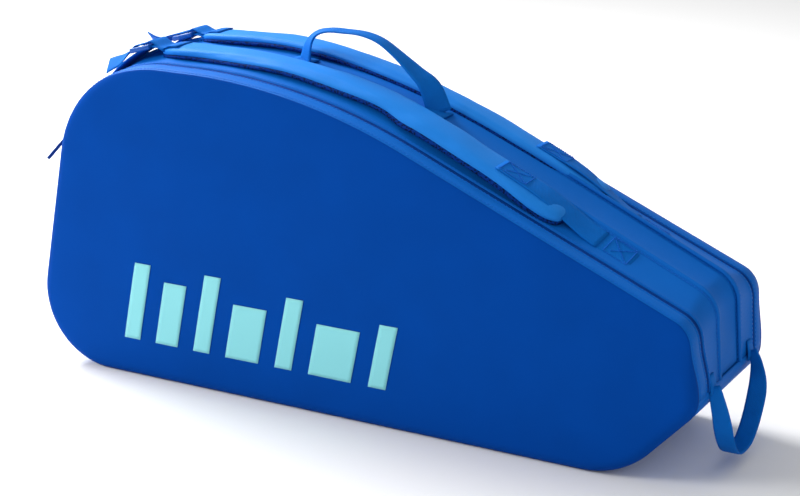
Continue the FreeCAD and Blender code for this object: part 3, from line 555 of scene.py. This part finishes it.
# ---------------------------------------------------------------- gussets, spine and zip
def make_bands(side, sign):
    tuck = -0.0011
    inner = layer([(RIDGE + 0.0006, tuck)] + bow(RIDGE + 0.002, 0.0570, -0.0012, 0.0002)
                  + [(0.0578, 0.0006), (0.0598, 0.0006)], CLOTH_WALL)
    thing = band(side + "_inner_gusset_cloth", sign, inner, UPPER)
    finish_piece(thing, [side + "_inner_gusset"], "gusset_fabric", "chassis")
    tape = layer([(0.0592, -0.0002), (0.0600, -0.0001), (0.0622, -0.0001), (0.0627, -0.0004)], TAPE_WALL)
    thing = band(side + "_inner_tape_cloth", sign, tape, UPPER)
    finish_piece(thing, [side + "_inner_zip_tape"], "zip_tape", "chassis")
    coil = layer([(0.0611, -0.0016), (0.0616, -0.0011), (0.0625, -0.0010), (0.0629, -0.0016)], COIL_WALL)
    thing = band(side + "_inner_coil_teeth", sign, coil, UPPER)
    finish_piece(thing, [side + "_inner_zip_coil"], "zip_coil", "chassis")

    tape = layer([(0.0633, -0.0004), (0.0638, -0.0001), (0.0660, -0.0001), (0.0668, -0.0002)], TAPE_WALL)
    thing = band(side + "_outer_tape_cloth", sign, tape, UPPER)
    finish_piece(thing, [side + "_outer_zip_tape"], "zip_tape")
    fold_with_shell(thing)
    coil = layer([(0.0631, -0.0016), (0.0635, -0.0010), (0.0644, -0.0011), (0.0649, -0.0016)], COIL_WALL)
    thing = band(side + "_outer_coil_teeth", sign, coil, UPPER)
    finish_piece(thing, [side + "_outer_zip_coil"], "zip_coil")
    fold_with_shell(thing)
    outer = layer([(0.0662, 0.0005), (0.0682, 0.0006)] + bow(0.0690, 0.0840, 0.0010, 0.0001)
                  + [(SEAM - 0.0010, -0.0004), (SEAM, -0.0012)], CLOTH_WALL)
    thing = band(side + "_outer_gusset_cloth", sign, outer, UPPER)
    finish_piece(thing, [side + "_outer_gusset"], "gusset_fabric")
    fold_with_shell(thing)

    ridge = [(RIDGE - 0.0030, -0.0008), (RIDGE - 0.0022, 0.0008), (RIDGE - 0.0008, 0.0017),
             (RIDGE + 0.0008, 0.0017), (RIDGE + 0.0022, 0.0008), (RIDGE + 0.0030, -0.0008), (RIDGE, -0.0014)]
    thing = band(side + "_ridge_seam", sign, ridge, UPPER)
    finish_piece(thing, [side + "_ridge_piping"], "gusset_fabric", "chassis")


def make_spine():
    half = RIDGE - 0.0010
    top = [(-half, -0.0012)] + [(-half + 2 * half * k / 12, -0.0020)
                                for k in range(13)] + [(half, -0.0012)]
    thing = band("spine_cloth", 1.0, layer(top, CLOTH_WALL), UPPER)
    finish_piece(thing, ["spine_panel"], "gusset_fabric", "chassis")


def make_bottom():
    outer = [(-SEAM, -0.0012), (-SEAM + 0.001, -0.0003)]
    outer += [(-SEAM + 0.003 + (2 * SEAM - 0.006) * k / 30, 0.0) for k in range(31)]
    outer += [(SEAM - 0.001, -0.0003), (SEAM, -0.0012)]
    thing = band("bottom_cloth", 1.0, layer(outer, CLOTH_WALL), LOWER)
    finish_piece(thing, ["bottom_gusset"], "gusset_fabric", "chassis")
    board = frame["nodes"]["bottom_board"]
    board.data.materials.clear()
    board.data.materials.append(MATERIALS["board"])


def stitch_row(name, points, ups, body, pitch=0.0042, share=0.62, radius=0.00033, blend_side=None):
    """A row of short thread stitches lying on a surface, through points with outward ways."""
    points, ups = np.array(points, float), np.array(ups, float)
    lengths = np.concatenate([[0], np.cumsum(np.linalg.norm(np.diff(points, axis=0), axis=1))])
    count = max(int(lengths[-1] / pitch), 1)
    at = lambda s: np.array([np.interp(s, lengths, points[:, k]) for k in range(3)])
    up_at = lambda s: np.array([np.interp(s, lengths, ups[:, k]) for k in range(3)])
    verts, faces = [], []
    for n in range(count):
        start = n * pitch
        rows = []
        for k, height in ((0.0, -0.3), (0.2, 0.8), (0.8, 0.8), (1.0, -0.3)):
            s = start + share * pitch * k
            up = up_at(s)
            up /= np.linalg.norm(up)
            way = at(min(s + 0.001, lengths[-1])) - at(max(s - 0.001, 0))
            way /= max(np.linalg.norm(way), 1e-9)
            side = np.cross(way, up)
            middle = at(s) + up * radius * height
            rows.append([middle + (side * math.cos(a) + up * math.sin(a)) * radius
                         for a in (0, math.pi / 2, math.pi, 3 * math.pi / 2)])
        base = len(verts)
        for row in rows:
            verts += [tuple(p) for p in row]
        faces += [(base + r * 4 + j, base + r * 4 + (j + 1) % 4,
                   base + (r + 1) * 4 + (j + 1) % 4, base + (r + 1) * 4 + j)
                  for r in range(3) for j in range(4)]
        faces += [tuple(base + j for j in range(4)), tuple(base + 12 + j for j in reversed(range(4)))]
    thing = outward(mesh_object(name, verts, faces))
    thing.data.materials.append(THREAD)
    if blend_side:
        fold_with_shell(thing)
    else:
        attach(thing, body)


def band_line(y, sign, lift):
    """A line round the bag at a distance from the mid-plane, and its outward ways."""
    loop = surface_loop(y)
    turn = normals(loop)
    points = []
    for i in UPPER:
        spread, sink = sagging(i, y)
        x, z = loop[i] + turn[i] * (lift - sink)
        points.append((x, sign * (y + spread), z))
    return points, [(turn[i][0], 0, turn[i][1]) for i in UPPER]


def make_band_stitches(side, sign):
    for name, y, lift, moves in (("inner_hem", 0.0586, 0.0006, None), ("outer_hem", 0.0674, 0.0006, side),
                                 ("seam_edge", 0.0828, 0.0004, side), ("ridge_inside", 0.0242, -0.0013, None),
                                 ("ridge_outside", 0.0322, 0.0001, None)):
        points, ups = band_line(y, sign, lift)
        stitch_row("%s_%s_stitches" % (side, name), points, ups, "chassis", blend_side=moves)


# ---------------------------------------------------------------- straps
PAD_LOW, PAD_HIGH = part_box("front_strap_pad")
PAD_Y = abs(PAD_LOW.y + PAD_HIGH.y) / 2
PAD_HALF = abs(PAD_LOW.y - PAD_HIGH.y) / 2
WEB_LOW, WEB_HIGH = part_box("front_strap_webbing")
WEB_Y = abs(WEB_LOW.y + WEB_HIGH.y) / 2
LEAD_OUT = 0.020    # from here towards the nose the pad leads out to its webbing
PAD_LIFT, PAD_WALL, PAD_OVER_MESH = -0.0072, 0.0085, 0.0016
PAD_TOP = PAD_LIFT + PAD_OVER_MESH + PAD_WALL
WEB_WIDTH, WEB_WALL, WEB_RIBS = 0.0265, 0.0018, 8


def crown_at(x, lift=0.0):
    """A point over the crown's outline at x, its outward way and the way along towards the head."""
    rows = [i for i in UPPER if CROWN_LOOP[i][1] > 0.13 and CROWN_LOOP[i][0] > -0.345]
    xs = CROWN_LOOP[rows][:, 0]
    order = np.argsort(xs)
    z = np.interp(x, xs[order], CROWN_LOOP[rows][order][:, 1])
    turn = normals(CROWN_LOOP)[rows][order]
    nx, nz = (np.interp(x, xs[order], turn[:, k]) for k in (0, 1))
    long = math.hypot(nx, nz)
    nx, nz = nx / long, nz / long
    return np.array([x + nx * lift, z + nz * lift]), np.array([nx, nz])


def pad_middle(x):
    """Distance of the strap's middle from the mid-plane: towards the nose it leads out to its webbing."""
    return PAD_Y + (WEB_Y - PAD_Y) * eased((x - LEAD_OUT) / (PAD_HIGH.x - LEAD_OUT))


def pad_section(x, side):
    """Half width, middle, lift and outer droop of the pad at x: it narrows and rounds at both ends."""
    a, b = PAD_LOW.x, PAD_HIGH.x
    head = min((x - a) / 0.035, 1)
    nose = min(max((b - x) / 0.050, 0), 1)
    half = PAD_HALF * (1 - 0.30 * (1 - math.sin(math.pi / 2 * nose))) * (1 - 0.28 * (1 - head) ** 2)
    front = side == "front"
    step = 0.0020 * math.tanh((x - 0.045) / 0.012) if front else 0.0
    droop = -0.0022 - 0.0030 * (0.5 + 0.5 * math.tanh((x - 0.05) / 0.08))
    droop += 0.0008 * math.sin(x * 55 + (0 if front else 2.0))
    droop -= 0.0020 * math.exp(-((x - 0.052) / 0.016) ** 2) if front else 0
    raised = 0.0 if front else 0.0042 * math.exp(-((x + 0.13) / 0.10) ** 2)
    sunk = -0.0022 * eased((x - 0.165) / 0.050)
    return half + step * 0.5, pad_middle(x) + step, PAD_LIFT + raised + sunk, droop


def pad_rings(side, low, high, widen=0.0, steps=14, spacing=0.0052):
    """Rings of a flat, round-edged strap; low and high are heights over the strap's own underside."""
    a, b = PAD_LOW.x + 0.0006, PAD_HIGH.x - 0.0006
    sign = side_sign(side)
    count = int((b - a) / spacing)
    rings = []
    for k in range(count + 1):
        share = k / count
        x = a + (b - a) * share
        half, middle, lift, droop = pad_section(x, side)
        half += widen
        end = min(k, count - k)
        shrink = {0: 0.80, 1: 0.93, 2: 0.98}.get(end, 1.0)
        flat = {0: 0.55, 1: 0.86, 2: 0.97}.get(end, 1.0)
        ring = []
        for j in range(2 * steps):
            angle = 2 * math.pi * j / (2 * steps)
            c, s = math.cos(angle), math.sin(angle)
            w = math.copysign(abs(c) ** 0.45, c) * half * shrink
            h = math.copysign(abs(s) ** 0.75, s) * 0.5 * flat + 0.5
            outer = max(w, 0) / max(half, 1e-6)
            y = middle + w
            point, _ = crown_at(x, lift + low + (high - low) * h + droop * outer ** 2)
            ring.append((point[0], sign * y, point[1]))
        rings.append(ring)
    return rings


SWELL_FRAMES = 20


def swell(thing, pressure, cap, seed):
    """Push a piece outwards along a short cloth simulation's moves, cutting every move off at cap."""
    rest = np.array([v.co for v in thing.data.vertices])
    scene = bpy.context.scene
    scene.frame_start, scene.frame_end = 1, SWELL_FRAMES
    cloth = thing.modifiers.new("cloth", "CLOTH")
    cloth.settings.quality = 6
    cloth.settings.mass = 0.15
    cloth.settings.use_pressure = True
    cloth.settings.uniform_pressure_force = pressure
    cloth.settings.effector_weights.gravity = 0
    cloth.settings.tension_stiffness = 12
    cloth.settings.compression_stiffness = 6
    cloth.settings.bending_stiffness = 0.4
    cloth.point_cache.frame_start, cloth.point_cache.frame_end = 1, SWELL_FRAMES
    for number in range(1, SWELL_FRAMES + 1):
        scene.frame_set(number)
    graph = bpy.context.evaluated_depsgraph_get()
    moved = np.array([v.co for v in thing.evaluated_get(graph).data.vertices])
    thing.modifiers.clear()
    scene.frame_set(1)
    if moved.shape == rest.shape:
        step = moved - rest
        size = np.linalg.norm(step, axis=1)[:, None]
        step *= np.minimum(1, cap / np.maximum(size, 1e-9))
        for vertex, place in zip(thing.data.vertices, rest + step):
            vertex.co = place
    for vertex in thing.data.vertices:
        x, y, z = vertex.co
        vertex.co += vertex.normal * wave(x, y, z, 0.032, seed) * 0.0006


def subdivide(thing):
    modifier = thing.modifiers.new("smooth", "SUBSURF")
    modifier.levels = modifier.render_levels = 1
    apply_modifiers(thing)


def make_pad(side, sign):
    body = side + "_strap"
    pad = tube(side + "_pad_cloth", pad_rings(side, PAD_OVER_MESH, PAD_OVER_MESH + PAD_WALL))
    swell(pad, 4.0, 0.0012, 1.7 + sign)
    subdivide(pad)
    finish_piece(pad, [side + "_strap_pad"], "strap_fabric", body)
    backing = tube(side + "_mesh_cloth", pad_rings(side, 0.0, 0.0060, 0.0012))
    subdivide(backing)
    finish_piece(backing, [side + "_strap_mesh"], "strap_mesh", body)


def path_on_slope(spots):
    """3-D points from (x, y, lift over the crown)."""
    out = []
    for x, y, lift in spots:
        point, _ = crown_at(x, lift)
        out.append((point[0], y, point[1]))
    return out


END_LEAN = 0.38


def make_strap_webbing(side, sign):
    body = side + "_strap"
    start, hinge = WEB_LOW.x, WEB_HIGH.x
    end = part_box(side + "_strap_end_patch")[1].x
    pad_lift, cloth_lift, leave = PAD_TOP + 0.0010, -0.0065, 0.185
    path, ways = [], []
    for x in np.linspace(start, hinge - 0.0015, 8):
        fall = eased((x - leave) / (hinge - leave))
        lean = 0.05 + 0.33 * eased((x - start) / (hinge - start))    # up to END_LEAN
        path += path_on_slope([(x, sign * WEB_Y, pad_lift + (cloth_lift - pad_lift) * fall)])
        ways.append((0, -1, sign * lean))
    strap = ribbon(side + "_strap_web", path, ways, 0.0260, WEB_WALL, WEB_RIBS)
    finish_piece(strap, [side + "_strap_webbing"], "webbing", body)
    path = path_on_slope([(x, sign * WEB_Y, cloth_lift - 0.0006)
                          for x in np.linspace(hinge - 0.0050, end, 4)])
    patch = ribbon(side + "_web_end", path, [(0.0, -1.0, sign * END_LEAN)] * 4, 0.0262, 0.0016, WEB_RIBS)
    finish_piece(patch, [side + "_strap_end_patch"], "webbing", "chassis")
    across = (WEB_Y - 0.0105, WEB_Y + 0.0105)
    along = (start + 0.003, start + 0.030)
    box_stitch(side + "_cross_stitches", sign, body, along, across, pad_lift + 0.0012, 0.06)
    along = (end - 0.026, end - 0.003)
    box_stitch(side + "_end_stitches", sign, "chassis", along, across, cloth_lift + 0.0006, END_LEAN)


def box_stitch(name, sign, body, xs, ys, lift, lean):
    """A sewn box with a cross in it, on webbing that leans outwards."""
    (x0, x1), (y0, y1) = xs, ys
    corners = [(x0, y0), (x1, y0), (x1, y1), (x0, y1), (x0, y0), (x1, y1), (x1, y0), (x0, y1)]
    points = []
    for (ax, ay), (bx, by) in zip(corners, corners[1:]):
        for share in np.linspace(0, 1, 9)[:-1]:
            y = ay + (by - ay) * share
            points.append((ax + (bx - ax) * share, sign * y, lift - lean * (y - (y0 + y1) / 2)))
    path = path_on_slope(points)
    ups = [(crown_at(p[0])[1][0], 0, crown_at(p[0])[1][1]) for p in points]
    stitch_row(name, path, ups, body, 0.0026, 0.7, 0.00042)


# ---------------------------------------------------------------- ladder locks and loose webbing
def rounded_box(name, size, place, turn, bevel):
    work = bmesh.new()
    bmesh.ops.create_cube(work, size=1)
    bmesh.ops.scale(work, vec=size, verts=work.verts)
    bmesh.ops.bevel(work, geom=work.edges[:], offset=bevel, segments=3, affect="EDGES", profile=0.5)
    bmesh.ops.transform(work, matrix=Matrix.Translation(place) @ turn.to_4x4(), verts=work.verts)
    mesh = bpy.data.meshes.new(name)
    work.to_mesh(mesh)
    work.free()
    for polygon in mesh.polygons:
        polygon.use_smooth = True
    thing = bpy.data.objects.new(name, mesh)
    bpy.context.scene.collection.objects.link(thing)
    return thing


def joined(name, things):
    with bpy.context.temp_override(active_object=things[0], object=things[0],
                                   selected_editable_objects=things, selected_objects=things):
        bpy.ops.object.join()
    things[0].name = name
    return things[0]


LOCK_SINK, LOCK_PITCH, LOCK_EDGE = 0.0040, 16, 0.0012


def make_lock(side):
    """A moulded ladder lock: two rails and three bars, the middle one set a little lower."""
    low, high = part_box(side + "_ladder_lock")
    centre = (low + high) / 2 - Vector((0, 0, LOCK_SINK))
    turn = Matrix.Rotation(-math.radians(LOCK_PITCH), 3, "Y")
    pieces = []
    for y in (-0.0168, 0.0168):
        place = centre + turn @ Vector((0, y, 0))
        pieces.append(rounded_box("rail", (0.026, 0.0044, 0.0052), place, turn, LOCK_EDGE))
    for x, size, lift in ((-0.0112, (0.0038, 0.034, 0.0042), 0.0), (0.0, (0.0040, 0.034, 0.0040), -0.0002),
                          (0.0112, (0.0038, 0.034, 0.0042), 0.0)):
        pieces.append(rounded_box("bar", size, centre + turn @ Vector((x, 0, lift)), turn, LOCK_EDGE))
    lock = joined(side + "_lock", pieces)
    finish_piece(lock, [side + "_ladder_lock"], "lock_plastic", side + "_lock")
    return centre, turn


def make_lock_webbing(side, sign):
    centre, turn = make_lock(side)
    at = lambda along, up, y=0.0: tuple(centre + turn @ Vector((along, 0, up)) + Vector((0, y, 0)))
    y = abs(centre.y)
    side_way = (0, -1, 0)
    raised = 0.0022 if side == "rear" else 0.0
    on_pad = path_on_slope([(x, sign * y, PAD_TOP + raised + lift)
                            for x, lift in ((-0.2345, -0.0010), (-0.226, 0.0012), (-0.214, 0.0016))])
    tab = [at(0.0085, 0.0050), at(0.0125, 0.0054)] + on_pad
    thing = ribbon(side + "_tab_web", tab, [side_way] * len(tab), WEB_WIDTH, WEB_WALL, WEB_RIBS)
    finish_piece(thing, [side + "_lock_tab"], "webbing", side + "_strap")
    under = ((-0.2985, -0.0004), (-0.2900, 0.0004), (-0.2760, 0.0022), (-0.2600, 0.0042), (-0.2480, 0.0056),
             (-0.2380, 0.0036), (-0.2310, -0.0008))
    adjuster = path_on_slope([(x, sign * y, lift) for x, lift in under])
    thing = ribbon(side + "_adjuster_web", adjuster, [side_way] * len(adjuster), 0.0290, 0.0024, WEB_RIBS)
    finish_piece(thing, [side + "_adjuster_webbing"], "webbing")
    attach(thing, "chassis")
    if side == "front":
        tail = [at(0.0020, 0.0034), at(-0.0100, 0.0040), at(-0.0190, 0.0018, -0.001),
                at(-0.0290, -0.0030, -0.002), at(-0.0390, -0.0070, -0.003),
                at(-0.0480, -0.0085, -0.004), at(-0.0560, -0.0100, -0.005)]
        ways = [(0, -1, 0), (0, -1, 0), (0, -1, -0.25), (0, -0.9, -0.45)] + [(0.1, -0.8, -0.6)] * 3
        widths = [0.0265, 0.0265, 0.0230, 0.0190, 0.0165, 0.0200, 0.0240]
    else:
        tail = [at(0.0020, 0.0034), at(-0.0100, 0.0042), at(-0.0200, 0.0030, 0.000),
                at(-0.0320, 0.0010, -0.003), at(-0.0420, 0.0030, -0.004), at(-0.0500, 0.0065, -0.004)]
        ways = [(0, -1, 0), (0, -1, 0), (0, -1, 0.1), (0, -0.9, 0.3), (0.1, -0.8, 0.5), (0.1, -0.7, 0.6)]
        widths = [0.0265, 0.0265, 0.0240, 0.0200, 0.0220, 0.0250]
    thing = ribbon(side + "_tail_web", tail, ways, widths, WEB_WALL, WEB_RIBS)
    finish_piece(thing, [side + "_webbing_tail"], "webbing", side + "_lock")


# ---------------------------------------------------------------- handle, loop and pulls
# Along the CAD handle's box, up it (None at a foot), degrees its width is turned across the bag, and its width.
HANDLE_LINE = ((0.02, None, 35, 0.0250), (0.05, 0.70, 45, 0.0250),
               (0.11, 0.88, 62, 0.0240), (0.20, 0.96, 80, 0.0210),
               (0.32, 0.97, 90, 0.0185), (0.45, 0.96, 90, 0.0180),
               (0.57, 0.88, 90, 0.0180), (0.69, 0.70, 96, 0.0190),
               (0.81, 0.48, 112, 0.0215), (0.91, 0.27, 130, 0.0240),
               (0.98, None, 142, 0.0250))
FOOT_TUCK, PATCH_LENGTH = -0.0060, 0.022


def make_handle():
    """A webbing arch on the CAD handle's line: its width turns from along the bag at the feet to across."""
    low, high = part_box("carry_handle")
    feet_low, feet_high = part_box("handle_patches")
    centres, sides, widths = [], [], []
    for along, up, turn, width in HANDLE_LINE:
        x = low.x + (high.x - low.x) * along
        z = crown_at(x, FOOT_TUCK)[0][1] if up is None else low.z + (high.z - low.z) * up
        centres.append((x, 0.0, z))
        sides.append((math.cos(math.radians(turn)), -math.sin(math.radians(turn)), 0))
        widths.append(width)
    handle = ribbon("handle_web", centres, sides, widths, 0.0026, WEB_RIBS)
    finish_piece(handle, ["carry_handle"], "webbing")
    axis = [j for j in frame["joints"] if j["name"] == "handle_flop"][0]
    pivot, line = Vector(axis["pos_m"]), Vector(axis["axis"])
    up = Vector((-line.z, 0, line.x))
    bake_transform(handle)
    for name, x0 in (("head", feet_low.x), ("nose", feet_high.x - PATCH_LENGTH)):
        path = path_on_slope([(x0 + PATCH_LENGTH * k / 4, 0.0, -SPINE_SINK) for k in range(5)])
        width = feet_high.y - feet_low.y - 0.001
        patch = ribbon("handle_%s_sewn" % name, path, [(0, -1, 0)] * 5, width, 0.0020, 4)
        finish_piece(patch, ["handle_patches"] if name == "head" else [], "webbing", "chassis")


def make_loop():
    low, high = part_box("end_loop")
    x, half, foot_z = low.x, high.y, high.z
    centre = [(x + out, half * y, low.z + up) for out, y, up in (
        (0.0006, -1.00, 0.0800), (0.0040, -1.00, 0.0700), (0.0078, -0.92, 0.0500), (0.0090, -0.68, 0.0220),
        (0.0092, -0.37, 0.0045), (0.0094, 0.00, 0.0005), (0.0098, 0.37, 0.0045), (0.0104, 0.70, 0.0220),
        (0.0108, 0.92, 0.0480), (0.0070, 1.00, 0.0700), (0.0010, 1.00, 0.0820))]
    ways = [(0.35, 0.2, 0.9), (0.65, 0.3, 0.7), (0.95, 0.2, 0.2), (1, 0.05, 0.0)] + [(1, 0, 0)] * 3
    ways += [(1, 0.05, 0), (0.97, 0.1, 0.1), (0.75, -0.3, 0.6), (0.35, -0.2, 0.9)]
    widths = [0.0120, 0.0150, 0.0180, 0.0185, 0.0185, 0.0185, 0.0185, 0.0185, 0.0185, 0.0160, 0.0120]
    loop = ribbon("loop_web", centre, ways, widths, 0.0020, 8)
    finish_piece(loop, ["end_loop"], "webbing")
    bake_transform(loop)
    feet = []
    for y in (-half, half):
        spots = [(x + lift, y, z) for lift, z in ((0.0006, foot_z - 0.0036), (0.0004, foot_z + 0.0044),
                                             (-0.0022, foot_z + 0.0154))]
        feet.append(ribbon("foot", spots, [(0, 1, 0)] * 3, [0.0150, 0.0140, 0.0110], 0.0016, 6))
    foot = joined("loop_feet_sewn", feet)
    finish_piece(foot, ["loop_feet"], "webbing", "chassis")


def make_pull(side, which):
    """A cord tab, pinched round the ring and wider at its end."""
    ring = frame["nodes"]["%s_%s_pull_ring" % (side, which)]
    tab = frame["nodes"]["%s_%s_pull_tab" % (side, which)]
    co = np.array([v.co for v in tab.data.vertices])
    ring_low, ring_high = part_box(ring.name)
    eye = np.array((ring_low + ring_high) / 2)
    middle = co.mean(0)
    _, _, axes = np.linalg.svd(co - middle)
    along = axes[0] * (1 if (middle - eye) @ axes[0] > 0 else -1)
    reach = (co - middle) @ along
    start, end = middle + along * reach.min(), middle + along * reach.max()
    width = axes[1]
    centres = [start + (end - start) * share for share in (0.02, 0.10, 0.30, 0.60, 0.85, 1.0)]
    widths = [0.0034, 0.0038, 0.0044, 0.0050, 0.0054, 0.0048]
    thing = ribbon("%s_%s_cord" % (side, which), centres, [width] * 6, widths, 0.0026, 6)
    finish_piece(thing, [tab.name], "pull_cord", "%s_%s_pull" % (side, which))
    for node in (ring, frame["nodes"]["%s_%s_slider" % (side, which)]):
        node.data.materials.clear()
        node.data.materials.append(MATERIALS["pull_metal"])
        for polygon in node.data.polygons:
            polygon.use_smooth = node is ring
        if node is not ring:
            edge = node.modifiers.new("edges", "BEVEL")
            edge.width, edge.segments = 0.0005, 2


PRINT_FOOT, PRINT_SLANT, PRINT_LIFT, PRINT_WALL = 0.044, 0.22, 0.0007, 0.0004


def make_print(side, sign):
    """A plain printed group of slanted bars, in place of any mark."""
    bars = [(-0.262, 0.020, 0.086), (-0.222, 0.028, 0.070), (-0.174, 0.020, 0.086), (-0.134, 0.040, 0.060),
            (-0.074, 0.020, 0.078), (-0.034, 0.050, 0.056), (0.036, 0.020, 0.068)]
    verts, faces = [], []
    for x0, width, height in bars:
        nx, nz = max(int(width / 0.004), 2), max(int(height / 0.004), 2)
        first = len(verts)
        for i in range(nx + 1):
            for j in range(nz + 1):
                z = PRINT_FOOT + height * j / nz
                x = x0 + width * i / nx + PRINT_SLANT * (z - PRINT_FOOT)
                inset = inset_distance(np.array([[x, z]]), PANEL_LOOP)[0]
                verts.append((x, sign * (panel_depth(x, z, inset) + PRINT_LIFT), z))
        corners = [first + i * (nz + 1) + j for i in range(nx) for j in range(nz)]
        faces += [(c, c + nz + 1, c + nz + 2, c + 1) for c in corners]
    thing = mesh_object(side + "_print", verts, faces if sign < 0 else [tuple(reversed(f)) for f in faces])
    solidify(thing, PRINT_WALL)
    finish_piece(thing, [], "panel_fabric", None, PRINT)
    fold_with_shell(thing)


# ---------------------------------------------------------------- build
for side, sign in SIDES:
    make_panel(side, sign)
    make_lining(side, sign)
    make_divider(side, sign)
    make_bands(side, sign)
    make_band_stitches(side, sign)
    make_pad(side, sign)
    make_strap_webbing(side, sign)
    make_lock_webbing(side, sign)
    for which in ("low", "high"):
        make_pull(side, which)
make_print("front", -1.0)
make_spine()
make_bottom()
make_handle()
make_loop()


# ---------------------------------------------------------------- floor, light and camera
def area_light(name, place, target, size, power, colour=(1, 1, 1)):
    lamp = bpy.data.lights.new(name, "AREA")
    lamp.shape = "RECTANGLE"
    lamp.size, lamp.size_y = size
    lamp.energy = power
    lamp.color = colour
    thing = bpy.data.objects.new(name, lamp)
    bpy.context.scene.collection.objects.link(thing)
    thing.location = place
    thing.rotation_euler = (Vector(target) - Vector(place)).to_track_quat("-Z", "Y").to_euler()


def make_stage():
    floor = mesh_object("floor", [(-6, -6, 0), (6, -6, 0), (6, 6, 0), (-6, 6, 0)], [(0, 1, 2, 3)])
    floor.data.materials.append(node_material("floor", (0.86, 0.86, 0.86), 0.9)[0])
    area_light("key", (-1.8, -1.6, 1.5), (-0.15, 0, 0.25), (1.0, 1.0), 42)
    area_light("top", (-1.7, 0.5, 1.7), (-0.15, 0, 0.30), (1.2, 1.0), 90)
    area_light("fill", (1.6, -1.8, 1.0), (0.1, 0, 0.15), (1.4, 1.4), 4)
    world = bpy.data.worlds.new("studio")
    world.use_nodes = True
    world.node_tree.nodes["Background"].inputs["Color"].default_value = (1, 1, 1, 1)
    world.node_tree.nodes["Background"].inputs["Strength"].default_value = 0.58
    bpy.context.scene.world = world
    bpy.context.scene.view_settings.view_transform = "Standard"


def make_camera():
    lens = bpy.data.cameras.new("camera")
    lens.lens = 84.7
    lens.sensor_width = 36
    camera = bpy.data.objects.new("camera", lens)
    bpy.context.scene.collection.objects.link(camera)
    target = Vector((0.01785, 0, 0.1581))
    azimuth, elevation, distance = math.radians(29), math.radians(17.3), 1.921
    back = Vector((math.sin(azimuth) * math.cos(elevation), -math.cos(azimuth) * math.cos(elevation),
                   math.sin(elevation)))
    camera.location = target + back * distance
    camera.rotation_euler = (-back).to_track_quat("-Z", "Y").to_euler()
    bpy.context.scene.camera = camera


make_stage()
make_camera()
